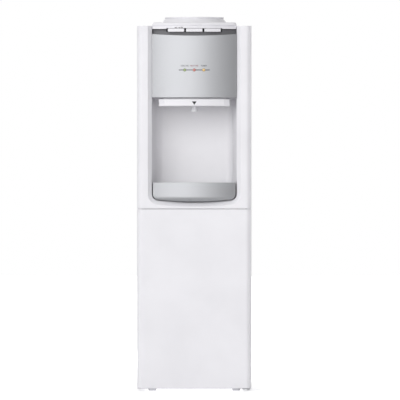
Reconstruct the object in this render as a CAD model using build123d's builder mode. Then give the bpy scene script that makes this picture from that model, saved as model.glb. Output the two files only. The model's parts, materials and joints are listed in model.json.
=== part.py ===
from build123d import *
import math
import os

# Floor-standing water dispenser: a bottle collar on top, a bowed silver front with three
# buttons over a dispensing recess, and a storage cabinet with the cooling unit behind it.
# Millimetres. The front faces -Y, +Z is up, and the origin is on the floor under the middle.

# Cabinet shell
BODY_WIDTH = 310.0
BODY_DEPTH = 298.0
EDGE_ROUND = 14.0
WALL = 2.5
SHEET = 1.0
SIDE_INSET = 1.0
SIDE_FLANGE = 12.0
BASE_RIM = 14.0
RAIL_HEIGHT = 14.0
RAIL_DEPTH = 22.0

# Clearances
FIT = 0.3
RUNNING = 0.05
ROOM = 1.0

# Feet
FOOT_HEIGHT = 6.0
FOOT_RADIUS = 11.0
FOOT_TAPER = 1.5
FOOT_STEM_RADIUS = 4.0
FOOT_STEM_LENGTH = 5.0
FOOT_SIDE_INSET = 41.0
FOOT_END_INSET = 26.0

# Heights of the upper front, one above the other from the seam over the door
SILL_HEIGHT = 16.5
RECESS_HEIGHT = 284.0
PANEL_HEIGHT = 173.0
BAND_HEIGHT = 13.7
BROW_HEIGHT = 8.3
PLATFORM_RISE = 9.5
COLLAR_RISE = 16.5

# Opening of the upper front frame
COLUMN_WIDTH = 40.0
OPENING_SAG = 7.0
OPENING_ROUND = 18.0
BEVEL_WIDTH = 11.0
BEVEL_DEPTH = 8.0

# Bowed front
PANEL_BULGE = 18.0
PANEL_TUCK = 4.0
PANEL_GAP = 0.5
PANEL_TOP_SAG = 5.0
PANEL_EDGE_ROUND = 1.8

# Door and its hinge
DOOR_HEIGHT = 486.3
DOOR_THICKNESS = 28.0
DOOR_GAP = 2.0
DOOR_CLEARANCE = 1.2
DOOR_EDGE_ROUND = 2.0
DOOR_END = 27.0
DOOR_FIELD_MARGIN = 22.0
DOOR_FIELD_DEPTH = 1.0
GRIP_REACH = 12.0
GRIP_DEPTH = 14.0
HINGE_PLATE = 2.0
HINGE_PLATE_HALF = 11.0
HINGE_PLATE_TAIL = 34.0
HINGE_LEG = 24.0
PIN_RADIUS = 3.0
PIN_LENGTH = 13.0
BUSH_WALL = 2.0
CATCH_WIDTH = 11.0
CATCH_HEIGHT = 40.0
CATCH_DROP = 70.0
CATCH_FROM_EDGE = 20.0
STRIKE_THICKNESS = 1.5

# Dispensing recess
RECESS_DEPTH = 115.0
RECESS_DRAFT = 13.0
RECESS_ROUND = 20.0
RECESS_FLOOR_RISE = 10.0
RECESS_FLANGE = 8.0

# Drip tray and grille
TRAY_GAP = 3.0
TRAY_HEIGHT = 44.0
TRAY_FLOOR = 6.5
TRAY_RIM = 1.8
TRAY_LEDGE = 2.5
GRILLE_PLAY = 1.4
TRAY_LIP_ROUND = 13.0
GRILLE_THICKNESS = 3.0
GRILLE_DROP = 1.5
SLOT_WIDTH = 4.0
SLOT_PITCH = 9.5
SLOT_SIDE = 8.0
SLOT_MARGIN = 12.0
QUARTER_TURN = 90.0

# Buttons, their pivot and the dark band behind them
KEY_WIDTH = 44.0
KEY_PITCH = 49.5
KEY_HEIGHT = 9.0
KEY_STEP = 0.8
KEY_INSET = 3.0
KEY_PLATE = 3.0
KEY_EDGE_ROUND = 1.0
KEY_PIVOT_SETBACK = 10.0
KEY_PIN_RADIUS = 2.0
KEY_HUB_RADIUS = 4.5
KEY_PAD = 2.0
KEY_PAD_HALF = 4.0
KEY_BRACKET = 3.0
BEZEL_INSET = 14.0
BEZEL_FLOOR = 2.0
BEZEL_TAIL = 10.0
KEY_SILL = 10.0

# Taps and plungers
TAP_SETBACK = 18.0
TAP_RADIUS = 11.0
TAP_HEIGHT = 40.0
TAP_DROP = 20.0
TAP_FLANGE = 4.0
TAP_FLANGE_WIDTH = 30.0
GLAND_RADIUS = 8.0
GLAND_HEIGHT = 8.0
GLAND_SIDES = 6
PLUNGER_RADIUS = 3.0
PLUNGER_TIP_RADIUS = 1.5
PLUNGER_TIP = 2.0
PLUNGER_DEPTH = 22.0
PLUNGER_TRAVEL = 8.0
PLUNGER_COLLAR = 5.5
PLUNGER_COLLAR_RISE = 5.0
STUB_RADIUS = 4.0
STUB_LENGTH = 15.0
BRACKET_SHEET = 1.5
BRACKET_FOOT = 26.0

# Outlet
MANIFOLD_RADIUS = 7.0
MANIFOLD_BORE = 5.0
MANIFOLD_DROP = 30.0
NOZZLE_COVER_SIDE_GAP = 19.5
NOZZLE_COVER_HEIGHT = 18.5
NOZZLE_COVER_GAP = 4.0
NOZZLE_COVER_INSET = 6.0
NOZZLE_COVER_DEPTH = 88.0
NOZZLE_FACET_WIDTH = 15.0
NOZZLE_FACET_DEPTH = 4.0
NOZZLE_NECK_STEP = 10.0
NOZZLE_RADIUS = 8.0
NOZZLE_WAIST = 5.5
NOZZLE_BORE = 4.0
NOZZLE_DROP = 15.0
NOZZLE_LIP = 5.0
NOZZLE_FLANGE = 10.0

# Indicator row
LAMP_PITCH = 26.0
LAMP_RADIUS = 4.0
LAMP_DOME = 1.2
LAMP_LENGTH = 14.0
LAMP_DROP = 98.0
STRIP_WIDTH = 84.0
STRIP_HEIGHT = 2.2
STRIP_DEPTH = 1.2
BOARD_WIDTH = 104.0
BOARD_HEIGHT = 22.0
BOARD_THICKNESS = 1.6
BOARD_POST_RADIUS = 3.0
BOARD_POST_INSET = 7.0

# Top cover and bottle seat
COVER_SKIRT = 15.0
COVER_OVERHANG = 1.0
COVER_ROUND = 4.0
BROW_INSET = 3.0
BROW_GROOVE = 4.0
BROW_GROOVE_HEIGHT = 5.5
BROW_LIP = 4.8
PLATFORM_ROUND = 7.0
PLATFORM_CORNER = 9.0
PLATFORM_REAR_ROUND = 40.0
PLATFORM_LENGTH = 272.0
BOTTLE_SETBACK = 152.0
COLLAR_BASE_RADIUS = 88.5
COLLAR_TOP_RADIUS = 80.5
COLLAR_FOOT = 2.0
RIM_WIDTH = 4.0
RIM_HEIGHT = 3.0
RIM_GROOVE = 1.2
RIM_GROOVE_HEIGHT = 2.0
BOWL_LIP = 2.5
BOWL_LIP_DROP = 4.0
BOWL_DEPTH = 28.0
THROAT_RADIUS = 31.0
THROAT_LENGTH = 32.0
PLUG_INSET = 9.0

# Cold tank
FOAM_HALF = 95.0
FOAM_ROUND = 30.0
FOAM_FLOOR = 18.0
FOAM_DROP = 10.0
TANK_MARGIN = 3.5
TANK_RIM = 8.0
SEAL_HEIGHT = 4.0
SEAL_WIDTH = 12.0
JACKET_WALL = 4.0
JACKET_RISE = 24.0
JACKET_DROP = 16.0
JACKET_STUB_X = 40.0
CAPILLARY_STUB_X = 60.0
BAFFLE_DROP = 11.0
BAFFLE_THICKNESS = 3.0
BAFFLE_STEM = 14.0
COLD_STUB_RISE = 12.0
WARM_HOSE_RUN = 10.0
FEED_STUB_X = 58.0
FEED_STUB_SETBACK = 17.0
FEED_RUN = 15.0
FEED_DROP = 9.0
HOSE_RADIUS = 5.0
HOSE_BORE = 3.4
HOSE_BEND = 8.0
HOSE_LANE = 11.0

# Hot tank
HOT_SETBACK = 84.0
HOT_RADIUS = 46.0
HOT_HEIGHT = 150.0
HOT_EDGE_ROUND = 11.0
HOT_HOSE_GAP = 8.5
HOT_FOAM_WALL = 13.0
HEATER_WALL = 3.4
HEATER_RISE = 25.0
HEATER_HEIGHT = 40.0
THERMOSTAT_RADIUS = 8.0
THERMOSTAT_HEIGHT = 8.0
THERMOSTAT_X = 20.0
HOT_STUB_SETBACK = 28.0
HOT_HOSE_RISE = 8.5
HOT_HOSE_DROP = 30.0
HOT_INLET_RISE = 16.0
HOT_LANE_INSET = 18.0
HOT_FLANGE = 30.0

# Cabinet for storage
CABINET_SIDE_ROOM = 27.0
CABINET_FLOOR = 34.0
CABINET_TOP_DROP = 26.0
CABINET_FLANGE = 22.0
LANE_DEPTH = 15.0
BAY_HEIGHT = 197.0
BAY_FRONT = 152.0
SHELF_RISE = 295.0
SHELF_WIRE = 1.6
SHELF_FRAME_WIRE = 2.5
SHELF_WIRES = 13
SHELF_CORNER = 14.0
SHELF_LEDGE = 6.0
SHELF_LEDGE_HEIGHT = 5.0

# Cooling unit
COMPRESSOR_X = -15.0
COMPRESSOR_SETBACK = 82.0
COMPRESSOR_RADIUS = 58.0
COMPRESSOR_HEIGHT = 150.0
COMPRESSOR_DOME = 26.0
COMPRESSOR_CHAMFER = 10.0
COMPRESSOR_SEAM = 3.0
COMPRESSOR_SEAM_RISE = 84.0
MOUNT_HEIGHT = 10.0
MOUNT_RADIUS = 9.0
MOUNT_PLATE = 3.0
MOUNT_SPREAD_X = 120.0
MOUNT_SPREAD_Y = 84.0
STARTER_REACH = 26.0
STARTER_WIDTH = 46.0
STARTER_WRAP = 8.0
DISCHARGE_RADIUS = 2.5
DISCHARGE_RISE = 42.0
DISCHARGE_X = 100.0
SUCTION_RADIUS = 3.5
SUCTION_RISE = 88.0
SUCTION_X = 80.0
SUCTION_BEND = 10.0
LINE_STUB = 12.0
LINE_BEND = 12.0
DRIER_RADIUS = 8.0
DRIER_LENGTH = 70.0
DRIER_SETBACK = 26.0
CAPILLARY_RADIUS = 1.2
CAPILLARY_X = 118.0
CAPILLARY_SHIFT = 6.0
CAPILLARY_BEND = 5.0

# Condenser on the back
CONDENSER_STANDOFF = 20.0
CONDENSER_TUBE = 2.5
CONDENSER_HALF = 105.0
PASS_PITCH = 56.0
PASS_COUNT = 10
PASS_BEND = 26.0
PASS_RISE = 55.0
CONDENSER_TAIL = 68.0
RISER_X = 140.0
WIRE_SIZE = 1.6
WIRE_GAP = 0.1
WIRE_PITCH = 10.0
WIRE_COUNT = 19
WIRE_OVERRUN = 8.0
CLIP_X = 98.0
CLIP_WIDTH = 8.0
CLIP_FOOT = 22.0
CLIP_SHEET = 1.5

# Rear switches, gland and drain
SWITCH_PITCH = 36.0
SWITCH_DROP = 95.0
SWITCH_WIDTH = 16.0
SWITCH_HEIGHT = 24.0
SWITCH_FLANGE = 2.0
SWITCH_BODY_DEPTH = 20.0
SWITCH_LIP = 1.3
ROCKER_RADIUS = 8.5
ROCKER_WIDTH = 10.0
ROCKER_SINK = 1.0
ROCKER_FACE = 4.6
ROCKER_TILT = 8.0
TRUNNION_RADIUS = 1.4
TRUNNION_LENGTH = 1.2
VENT_WIDTH = 60.0
VENT_HEIGHT = 4.0
VENT_PITCH = 12.0
VENT_COUNT = 4
VENT_X = 70.0
VENT_DROP = 40.0
GLAND_INSET = 44.0
GLAND_RISE = 22.0
CORD_HOLE = 4.5
CORD_GLAND_RADIUS = 8.0
CORD_GLAND_FLANGE = 12.0
CORD_GLAND_REACH = 6.0
DRAIN_RISE = 26.0
DRAIN_NOSE_RADIUS = 8.0
DRAIN_NOSE_LENGTH = 14.0
DRAIN_FLANGE_RADIUS = 14.0
DRAIN_FLANGE = 2.0
DRAIN_CAP_WALL = 2.5
DRAIN_CAP_SIDES = 12
DRAIN_DROP = 22.0

# Places that follow from the sizes above
REAR_REACH = CONDENSER_STANDOFF + CONDENSER_TUBE + WIRE_GAP + WIRE_SIZE
FRONT_REACH = PANEL_BULGE + LAMP_DOME
FRONT = FRONT_REACH - (FRONT_REACH + BODY_DEPTH + REAR_REACH) / 2
BACK = FRONT + BODY_DEPTH
FRAME_DEPTH = DOOR_THICKNESS + DOOR_GAP
RIM_Y = FRONT + FRAME_DEPTH
SIDE_OUTER = BODY_WIDTH / 2 - SIDE_INSET
SIDE_INNER = SIDE_OUTER - SHEET
SIDE_BACK = BACK - SHEET
INSIDE_BACK = SIDE_BACK

DOOR_BOTTOM = FOOT_HEIGHT + ROOM
DOOR_TOP = DOOR_BOTTOM + DOOR_HEIGHT
FRAME_BOTTOM = DOOR_TOP + DOOR_CLEARANCE
SILL_TOP = FRAME_BOTTOM + SILL_HEIGHT
RECESS_TOP = SILL_TOP + RECESS_HEIGHT
PANEL_TOP = RECESS_TOP + PANEL_HEIGHT
BROW_BOTTOM = PANEL_TOP + BAND_HEIGHT
FRAME_TOP = BROW_BOTTOM + BROW_HEIGHT
PLATFORM_TOP = FRAME_TOP + PLATFORM_RISE
COLLAR_TOP = PLATFORM_TOP + COLLAR_RISE
COVER_BOTTOM = FRAME_TOP - COVER_SKIRT

OPENING_HALF = BODY_WIDTH / 2 - COLUMN_WIDTH
BOW_SAG = PANEL_BULGE + PANEL_TUCK
BOW_RADIUS = (OPENING_HALF**2 + BOW_SAG**2) / (2 * BOW_SAG)
CREST_Y = FRONT - PANEL_BULGE
BOW_CENTRE_Y = CREST_Y + BOW_RADIUS
SILL_RADIUS = (OPENING_HALF**2 + OPENING_SAG**2) / (2 * OPENING_SAG)
PANEL_HALF = OPENING_HALF - PANEL_GAP
PANEL_LOW = PANEL_TOP - PANEL_TOP_SAG
PANEL_CEILING = PANEL_LOW - WALL

RECESS_BACK = FRONT + RECESS_DEPTH
RECESS_FLOOR = SILL_TOP + RECESS_FLOOR_RISE
TRAY_TOP = RECESS_FLOOR + TRAY_HEIGHT
TRAY_HALF = OPENING_HALF - TRAY_GAP

KEY_NAMES = ("hot", "warm", "cold")
KEY_PLACES = (-KEY_PITCH, 0.0, KEY_PITCH)
KEY_TOP = BROW_BOTTOM + KEY_STEP
KEY_BOTTOM = KEY_TOP - KEY_HEIGHT
KEY_PIVOT_Y = RIM_Y + KEY_PIVOT_SETBACK
KEY_PIVOT_Z = KEY_TOP - KEY_HUB_RADIUS
KEY_ROW_HALF = KEY_PITCH + KEY_PITCH / 2
PAD_BOTTOM = KEY_TOP - KEY_PLATE - KEY_PAD
BEZEL_FLOOR_TOP = PANEL_TOP + FIT + BEZEL_FLOOR

TAP_Y = FRONT + TAP_SETBACK
TAP_TOP = PANEL_TOP - TAP_DROP - GLAND_HEIGHT
TAP_BOTTOM = TAP_TOP - TAP_HEIGHT
BRACKET_FRONT = TAP_Y + TAP_RADIUS + TAP_FLANGE
BRACKET_BACK = BRACKET_FRONT + BRACKET_SHEET
OUTLET_BOTTOM = TAP_BOTTOM - STUB_LENGTH
MANIFOLD_Z = OUTLET_BOTTOM - MANIFOLD_DROP
INLET_Z = TAP_BOTTOM + STUB_LENGTH
HOSE_TOP = INLET_Z - STUB_LENGTH
PLUNGER_TOP = PAD_BOTTOM - FIT
NOZZLE_COVER_TOP = RECESS_TOP - NOZZLE_COVER_GAP
NOZZLE_COVER_BOTTOM = NOZZLE_COVER_TOP - NOZZLE_COVER_HEIGHT
NOZZLE_COVER_HALF = OPENING_HALF - NOZZLE_COVER_SIDE_GAP
NOZZLE_BOTTOM = NOZZLE_COVER_BOTTOM - NOZZLE_DROP
NOZZLE_SEAT = NOZZLE_COVER_BOTTOM + WALL
NOZZLE_TOP = RECESS_TOP + WALL + ROOM
LAMP_Z = PANEL_TOP - LAMP_DROP
STRIP_BOTTOM = LAMP_Z - STRIP_HEIGHT / 2
STRIP_TOP = LAMP_Z + STRIP_HEIGHT / 2
LAMP_NAMES = ("green_lamp", "red_lamp", "amber_lamp")
LAMP_PLACES = (-LAMP_PITCH, 0.0, LAMP_PITCH)
BOARD_FRONT = CREST_Y + LAMP_LENGTH

BOTTLE_Y = FRONT + BOTTLE_SETBACK
SHELF_BOTTOM = RECESS_TOP + WALL + BRACKET_SHEET
FOAM_BOTTOM = SHELF_BOTTOM + SHEET
FOAM_TOP = COVER_BOTTOM - FOAM_DROP
TANK_BOTTOM = FOAM_BOTTOM + FOAM_FLOOR
TANK_TOP = FOAM_TOP + SHEET
SEAL_TOP = TANK_TOP + SEAL_HEIGHT
PLUG_RADIUS = COLLAR_TOP_RADIUS - PLUG_INSET
TANK_RADIUS = PLUG_RADIUS + TANK_MARGIN
THROAT_TOP = COLLAR_TOP - BOWL_DEPTH
THROAT_BOTTOM = THROAT_TOP - THROAT_LENGTH
COLD_STUB_Z = TANK_BOTTOM + COLD_STUB_RISE
WARM_STUB_Z = HOSE_TOP - WARM_HOSE_RUN
JACKET_BOTTOM = TANK_BOTTOM + JACKET_RISE
JACKET_TOP = WARM_STUB_Z - JACKET_DROP
JACKET_RADIUS = TANK_RADIUS + FIT + JACKET_WALL
JACKET_STUB_Z = (JACKET_BOTTOM + JACKET_TOP) / 2
JACKET_STUBS = ((JACKET_STUB_X, SUCTION_RADIUS), (CAPILLARY_STUB_X, CAPILLARY_RADIUS))
FEED_Y = BOTTLE_Y + FEED_STUB_SETBACK
FOAM_FRONT = BOTTLE_Y - FOAM_HALF
FOAM_BACK = BOTTLE_Y + FOAM_HALF
HOSE_Y = FOAM_FRONT - HOSE_LANE
STUB_END = FOAM_FRONT - HOSE_RADIUS / 2

HOT_Y = BACK - HOT_SETBACK
HOT_HOSE_Z = SHELF_BOTTOM - HOT_HOSE_GAP
HOT_STUB_Z = HOT_HOSE_Z - HOT_HOSE_RISE
HOT_FOAM_TOP = HOT_STUB_Z - STUB_LENGTH
HOT_FOAM_CEILING = HOT_FOAM_TOP - HOT_FOAM_WALL
HOT_TOP = HOT_FOAM_CEILING - ROOM - THERMOSTAT_HEIGHT
HOT_BOTTOM = HOT_TOP - HOT_HEIGHT
HOT_FOAM_BOTTOM = HOT_BOTTOM - HOT_FOAM_WALL
HOT_SLEEVE = HOT_RADIUS + FIT + HEATER_WALL + ROOM
HOT_FOAM_RADIUS = HOT_SLEEVE + HOT_FOAM_WALL
HOT_OUTLET_Y = HOT_Y - HOT_STUB_SETBACK
HOT_INLET_X = HOT_FOAM_RADIUS + ROOM
HOT_INLET_Z = HOT_BOTTOM + HOT_INLET_RISE
FEED_LANE_X = HOT_INLET_X + FEED_RUN
FEED_TOP = SHELF_BOTTOM - STUB_LENGTH
FEED_Z = FEED_TOP - FEED_DROP
HOT_LANE_X = -(SIDE_INNER - HOT_LANE_INSET)

LANE_Y = INSIDE_BACK - LANE_DEPTH / 2
CABINET_FRONT = RIM_Y + SHEET
CABINET_BACK = INSIDE_BACK - LANE_DEPTH - WALL
CABINET_HALF = SIDE_INNER - CABINET_SIDE_ROOM
CABINET_FLOOR_Z = FOOT_HEIGHT + CABINET_FLOOR
CABINET_CEILING = FRAME_BOTTOM - CABINET_TOP_DROP
BAY_TOP = FOOT_HEIGHT + BAY_HEIGHT
BAY_FRONT_Y = BACK - BAY_FRONT
SHELF_Z = CABINET_FLOOR_Z + SHELF_RISE

COMPRESSOR_Y = BACK - COMPRESSOR_SETBACK
COMPRESSOR_BOTTOM = FOOT_HEIGHT + SHEET + MOUNT_HEIGHT + MOUNT_PLATE
COMPRESSOR_TOP = COMPRESSOR_BOTTOM + COMPRESSOR_HEIGHT
CONDENSER_Y = BACK + CONDENSER_STANDOFF
PASS_BOTTOM = BAY_TOP + PASS_RISE
PASS_TOP = PASS_BOTTOM + (PASS_COUNT - 1) * PASS_PITCH
TAIL_BOTTOM = PASS_BOTTOM - CONDENSER_TAIL
STUB_FACE_X = COMPRESSOR_X + COMPRESSOR_RADIUS + LINE_STUB
DISCHARGE_Z = COMPRESSOR_BOTTOM + DISCHARGE_RISE
SUCTION_Z = COMPRESSOR_BOTTOM + SUCTION_RISE
DRIER_Y = BACK - DRIER_SETBACK
LIQUID_Z = TAIL_BOTTOM - LINE_BEND - ROOM
DRIER_TOP = LIQUID_Z - LINE_BEND - ROOM
DRIER_BOTTOM = DRIER_TOP - DRIER_LENGTH
CAPILLARY_Y = LANE_Y - CAPILLARY_SHIFT

PIVOT_X = BODY_WIDTH / 2 - EDGE_ROUND
PIVOT_Y = FRONT + DOOR_THICKNESS / 2
BUSH_RADIUS = PIN_RADIUS + RUNNING + BUSH_WALL
BUSH_SPANS = ((DOOR_BOTTOM, DOOR_BOTTOM + PIN_LENGTH + ROOM), (DOOR_TOP - PIN_LENGTH - ROOM, DOOR_TOP))
DOOR_BACK = FRONT + DOOR_THICKNESS
CATCH_X = -(BODY_WIDTH / 2 - CATCH_FROM_EDGE)
CATCH_TOP = DOOR_TOP - CATCH_DROP

SWITCH_Z = COVER_BOTTOM - SWITCH_DROP
SWITCH_PLACES = (-SWITCH_PITCH / 2, SWITCH_PITCH / 2)
SWITCH_NAMES = ("hot_switch_rocker", "cold_switch_rocker")
ROCKER_Y = BACK + SWITCH_FLANGE - ROCKER_SINK - ROCKER_FACE
GLAND_X = -(SIDE_OUTER - GLAND_INSET)
GLAND_Z = BAY_TOP + GLAND_RISE
DRAIN_Z = BAY_TOP + DRAIN_RISE


def bow_y(x, inset):
    """Y of the bowed front at x, taken inset behind its surface."""
    return BOW_CENTRE_Y - math.sqrt((BOW_RADIUS - inset) ** 2 - x**2)


def sill_z(x, grow):
    """Height of the opening's lower edge at x, moved outwards by grow."""
    return SILL_TOP + SILL_RADIUS - math.sqrt((SILL_RADIUS + grow) ** 2 - x**2)


def recess_half(y, grow):
    """Half width of the drafted recess at depth y, with its walls moved out by grow."""
    return OPENING_HALF + grow - (y - RIM_Y) * RECESS_DRAFT / (RECESS_BACK - RIM_Y)


def block(left, right, front, back, bottom, top, mode=Mode.ADD):
    """Straight-sided block between six faces."""
    with BuildSketch(Plane.XY.offset(bottom)) as plan:
        with Locations(((left + right) / 2, (front + back) / 2)):
            Rectangle(right - left, back - front)
    extrude(plan.sketch, amount=top - bottom, mode=mode)


def rod(start, end, radius, mode=Mode.ADD):
    """Round bar or hole from start to end."""
    run = Vector(*end) - Vector(*start)
    with BuildSketch(Plane(origin=start, z_dir=run.normalized())) as section:
        Circle(radius)
    extrude(section.sketch, amount=run.length, mode=mode)


def turned(profile, origin, along=(0, 0, 1), mode=Mode.ADD):
    """Solid of revolution; the profile is (radius, distance along the axis) points."""
    across = Vector(1, 0, 0)
    plane = Plane(origin=origin, x_dir=across, z_dir=across.cross(Vector(*along)))
    with BuildSketch(plane) as half:
        with BuildLine():
            Polyline(*profile, close=True)
        make_face()
    revolve(half.sketch, axis=Axis(origin, along), mode=mode)


def tube(points, bend, radius, bore=0.0):
    """Tube along straight runs joined by arcs of radius bend."""
    with BuildLine() as route:
        FilletPolyline(*points, radius=bend)
    with BuildSketch(Plane(origin=route.line @ 0, z_dir=route.line % 0)) as section:
        Circle(radius)
        if bore:
            Circle(bore, mode=Mode.SUBTRACT)
    sweep(section.sketch, path=route.line)


def bowed_slab(bottom, top, inset, back, left, right, corner=0.0, rear_corner=0.0, mode=Mode.ADD):
    """Slab from the bowed front, inset behind it, to a straight back."""
    middle = (left + right) / 2
    with BuildSketch(Plane.XY.offset(bottom)) as plan:
        with BuildLine():
            ThreePointArc(
                (left, bow_y(left, inset)),
                (middle, bow_y(middle, inset)),
                (right, bow_y(right, inset)),
            )
            Polyline(
                (right, bow_y(right, inset)),
                (right, back),
                (left, back),
                (left, bow_y(left, inset)),
            )
        make_face()
        if rear_corner:
            fillet(plan.vertices().group_by(Axis.Y)[-1], radius=rear_corner)
        if corner:
            fillet(plan.vertices().group_by(Axis.Y)[0], radius=corner)
    extrude(plan.sketch, amount=top - bottom, mode=mode)


def bowed_band(bottom, top, near, far, half, mode=Mode.ADD):
    """Curved wall between two depths behind the bowed front."""
    with BuildSketch(Plane.XY.offset(bottom)) as plan:
        with BuildLine():
            ThreePointArc((-half, bow_y(half, near)), (0, bow_y(0, near)), (half, bow_y(half, near)))
            Line((half, bow_y(half, near)), (half, bow_y(half, far)))
            ThreePointArc((half, bow_y(half, far)), (0, bow_y(0, far)), (-half, bow_y(half, far)))
            Line((-half, bow_y(half, far)), (-half, bow_y(half, near)))
        make_face()
    extrude(plan.sketch, amount=top - bottom, mode=mode)


def recess_slab(bottom, top, front, grow, mode=Mode.ADD):
    """Slab with the plan of the recess behind front, its walls moved out by grow."""
    back = RECESS_BACK + grow
    with BuildSketch(Plane.XY.offset(bottom)) as plan:
        with BuildLine():
            Polyline(
                (-recess_half(front, grow), front),
                (recess_half(front, grow), front),
                (recess_half(back, grow), back),
                (-recess_half(back, grow), back),
                close=True,
            )
        make_face()
        fillet(plan.vertices().group_by(Axis.Y)[-1], radius=RECESS_ROUND + grow)
    extrude(plan.sketch, amount=top - bottom, mode=mode)


def opening_sketch(y, grow, top):
    """Outline of the frame's opening on the upright plane at y, moved outwards by grow."""
    half = OPENING_HALF + grow
    low = sill_z(half, grow)
    with BuildSketch(Plane.XZ.offset(-y)) as outline:
        with BuildLine():
            ThreePointArc((-half, low), (0, sill_z(0, grow)), (half, low))
            Polyline((half, low), (half, top), (-half, top), (-half, low))
        make_face()
        fillet(outline.vertices().group_by(Axis.Y)[0], radius=OPENING_ROUND + grow)
    return outline.sketch


def panel_top_cut(lift, above, mode=Mode.SUBTRACT):
    """Takes away what lies above, or below, the hollow top edge of the silver panel."""
    low = PANEL_LOW + lift
    high = PANEL_TOP + lift
    far = high + BAND_HEIGHT + BROW_HEIGHT if above else RECESS_TOP
    with BuildSketch(Plane.XZ.offset(-RIM_Y - BEZEL_TAIL)) as outline:
        with BuildLine():
            ThreePointArc((-OPENING_HALF, high), (0, low), (OPENING_HALF, high))
            Polyline(
                (OPENING_HALF, high),
                (OPENING_HALF, far),
                (-OPENING_HALF, far),
                (-OPENING_HALF, high),
            )
        make_face()
    extrude(outline.sketch, amount=FRAME_DEPTH + PANEL_BULGE + 2 * BEZEL_TAIL, both=True, mode=mode)


def cabinet_slab(grow, front, mode=Mode.ADD):
    """The stepped storage space, its walls moved out by grow, run across the cabinet."""
    with BuildSketch(Plane.YZ.offset(-(CABINET_HALF + grow))) as profile:
        with BuildLine():
            Polyline(
                (front, CABINET_FLOOR_Z - grow),
                (BAY_FRONT_Y - WALL + grow, CABINET_FLOOR_Z - grow),
                (BAY_FRONT_Y - WALL + grow, BAY_TOP + WALL - grow),
                (CABINET_BACK + grow, BAY_TOP + WALL - grow),
                (CABINET_BACK + grow, CABINET_CEILING + grow),
                (front, CABINET_CEILING + grow),
                close=True,
            )
        make_face()
    extrude(profile.sketch, amount=2 * (CABINET_HALF + grow), mode=mode)


def hinge_plate(bottom, top, back, grow, mode=Mode.ADD):
    """Plate with a round nose about the door's pivot, moved outwards by grow."""
    half = HINGE_PLATE_HALF + grow
    rod((PIVOT_X, PIVOT_Y, bottom), (PIVOT_X, PIVOT_Y, top), half, mode=mode)
    block(PIVOT_X - half, PIVOT_X + half, PIVOT_Y, back, bottom, top, mode=mode)


def keep(builder, name):
    """Label a finished piece and write it."""
    builder.part.label = name
    export_step(builder.part, f"parts/{name}.step")


os.makedirs("parts", exist_ok=True)

FOOT_PLACES = [
    (x, y)
    for x in (-(BODY_WIDTH / 2 - FOOT_SIDE_INSET), BODY_WIDTH / 2 - FOOT_SIDE_INSET)
    for y in (RIM_Y + FOOT_END_INSET, SIDE_BACK - FOOT_END_INSET)
]

# Base tray
with BuildPart() as base_plate:
    block(-SIDE_INNER, SIDE_INNER, RIM_Y + SHEET, SIDE_BACK - SHEET, FOOT_HEIGHT, FOOT_HEIGHT + BASE_RIM)
    block(
        -SIDE_INNER + SHEET,
        SIDE_INNER - SHEET,
        RIM_Y + 2 * SHEET,
        SIDE_BACK - 2 * SHEET,
        FOOT_HEIGHT + SHEET,
        FOOT_HEIGHT + BASE_RIM,
        mode=Mode.SUBTRACT,
    )
    for x, y in FOOT_PLACES:
        rod((x, y, FOOT_HEIGHT), (x, y, FOOT_HEIGHT + SHEET), FOOT_STEM_RADIUS + FIT, mode=Mode.SUBTRACT)
keep(base_plate, "base_plate")

# Feet
with BuildPart() as feet:
    for x, y in FOOT_PLACES:
        turned(
            [
                (0, 0),
                (FOOT_RADIUS - FOOT_TAPER, 0),
                (FOOT_RADIUS, FOOT_TAPER),
                (FOOT_RADIUS, FOOT_HEIGHT),
                (FOOT_STEM_RADIUS, FOOT_HEIGHT),
                (FOOT_STEM_RADIUS, FOOT_HEIGHT + FOOT_STEM_LENGTH),
                (0, FOOT_HEIGHT + FOOT_STEM_LENGTH),
            ],
            (x, y, 0),
        )
keep(feet, "feet")

# Side panels of folded steel
with BuildPart() as left_side_panel:
    block(-SIDE_OUTER, -SIDE_OUTER + SIDE_FLANGE, RIM_Y, SIDE_BACK, FOOT_HEIGHT, COVER_BOTTOM)
    block(
        -SIDE_INNER,
        -SIDE_OUTER + SIDE_FLANGE,
        RIM_Y + SHEET,
        SIDE_BACK - SHEET,
        FOOT_HEIGHT,
        COVER_BOTTOM,
        mode=Mode.SUBTRACT,
    )
keep(left_side_panel, "left_side_panel")

with BuildPart() as right_side_panel:
    mirror(left_side_panel.part, about=Plane.YZ)
keep(right_side_panel, "right_side_panel")

# Back panel with vents and the holes for switches, gland and drain
with BuildPart() as back_panel:
    block(-SIDE_OUTER, SIDE_OUTER, SIDE_BACK, BACK, BAY_TOP, COVER_BOTTOM)
    with BuildSketch(Plane.XZ.offset(-BACK)):
        for x in SWITCH_PLACES:
            with Locations((x, SWITCH_Z)):
                Rectangle(SWITCH_WIDTH - 2 * SWITCH_LIP, SWITCH_HEIGHT - 2 * SWITCH_LIP)
        with Locations((-VENT_X, COVER_BOTTOM - VENT_DROP), (VENT_X, COVER_BOTTOM - VENT_DROP)):
            with GridLocations(VENT_WIDTH, VENT_PITCH, 1, VENT_COUNT):
                SlotOverall(VENT_WIDTH, VENT_HEIGHT)
        with Locations((GLAND_X, GLAND_Z)):
            Circle(CORD_GLAND_RADIUS + FIT)
        with Locations((0, DRAIN_Z)):
            Circle(DRAIN_NOSE_RADIUS + FIT)
    extrude(amount=SHEET, mode=Mode.SUBTRACT)
    for x in (-CLIP_X, CLIP_X):
        for z in (PASS_BOTTOM + PASS_PITCH, PASS_TOP - PASS_PITCH):
            block(
                x - CLIP_WIDTH / 2,
                x + CLIP_WIDTH / 2,
                BACK,
                BACK + CLIP_SHEET,
                z - CLIP_FOOT / 2,
                z + CLIP_FOOT / 2,
            )
            block(
                x - CLIP_WIDTH / 2,
                x + CLIP_WIDTH / 2,
                BACK,
                CONDENSER_Y - CONDENSER_TUBE - WIRE_GAP,
                z - CLIP_WIDTH / 2,
                z + CLIP_WIDTH / 2,
            )
keep(back_panel, "back_panel")

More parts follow.
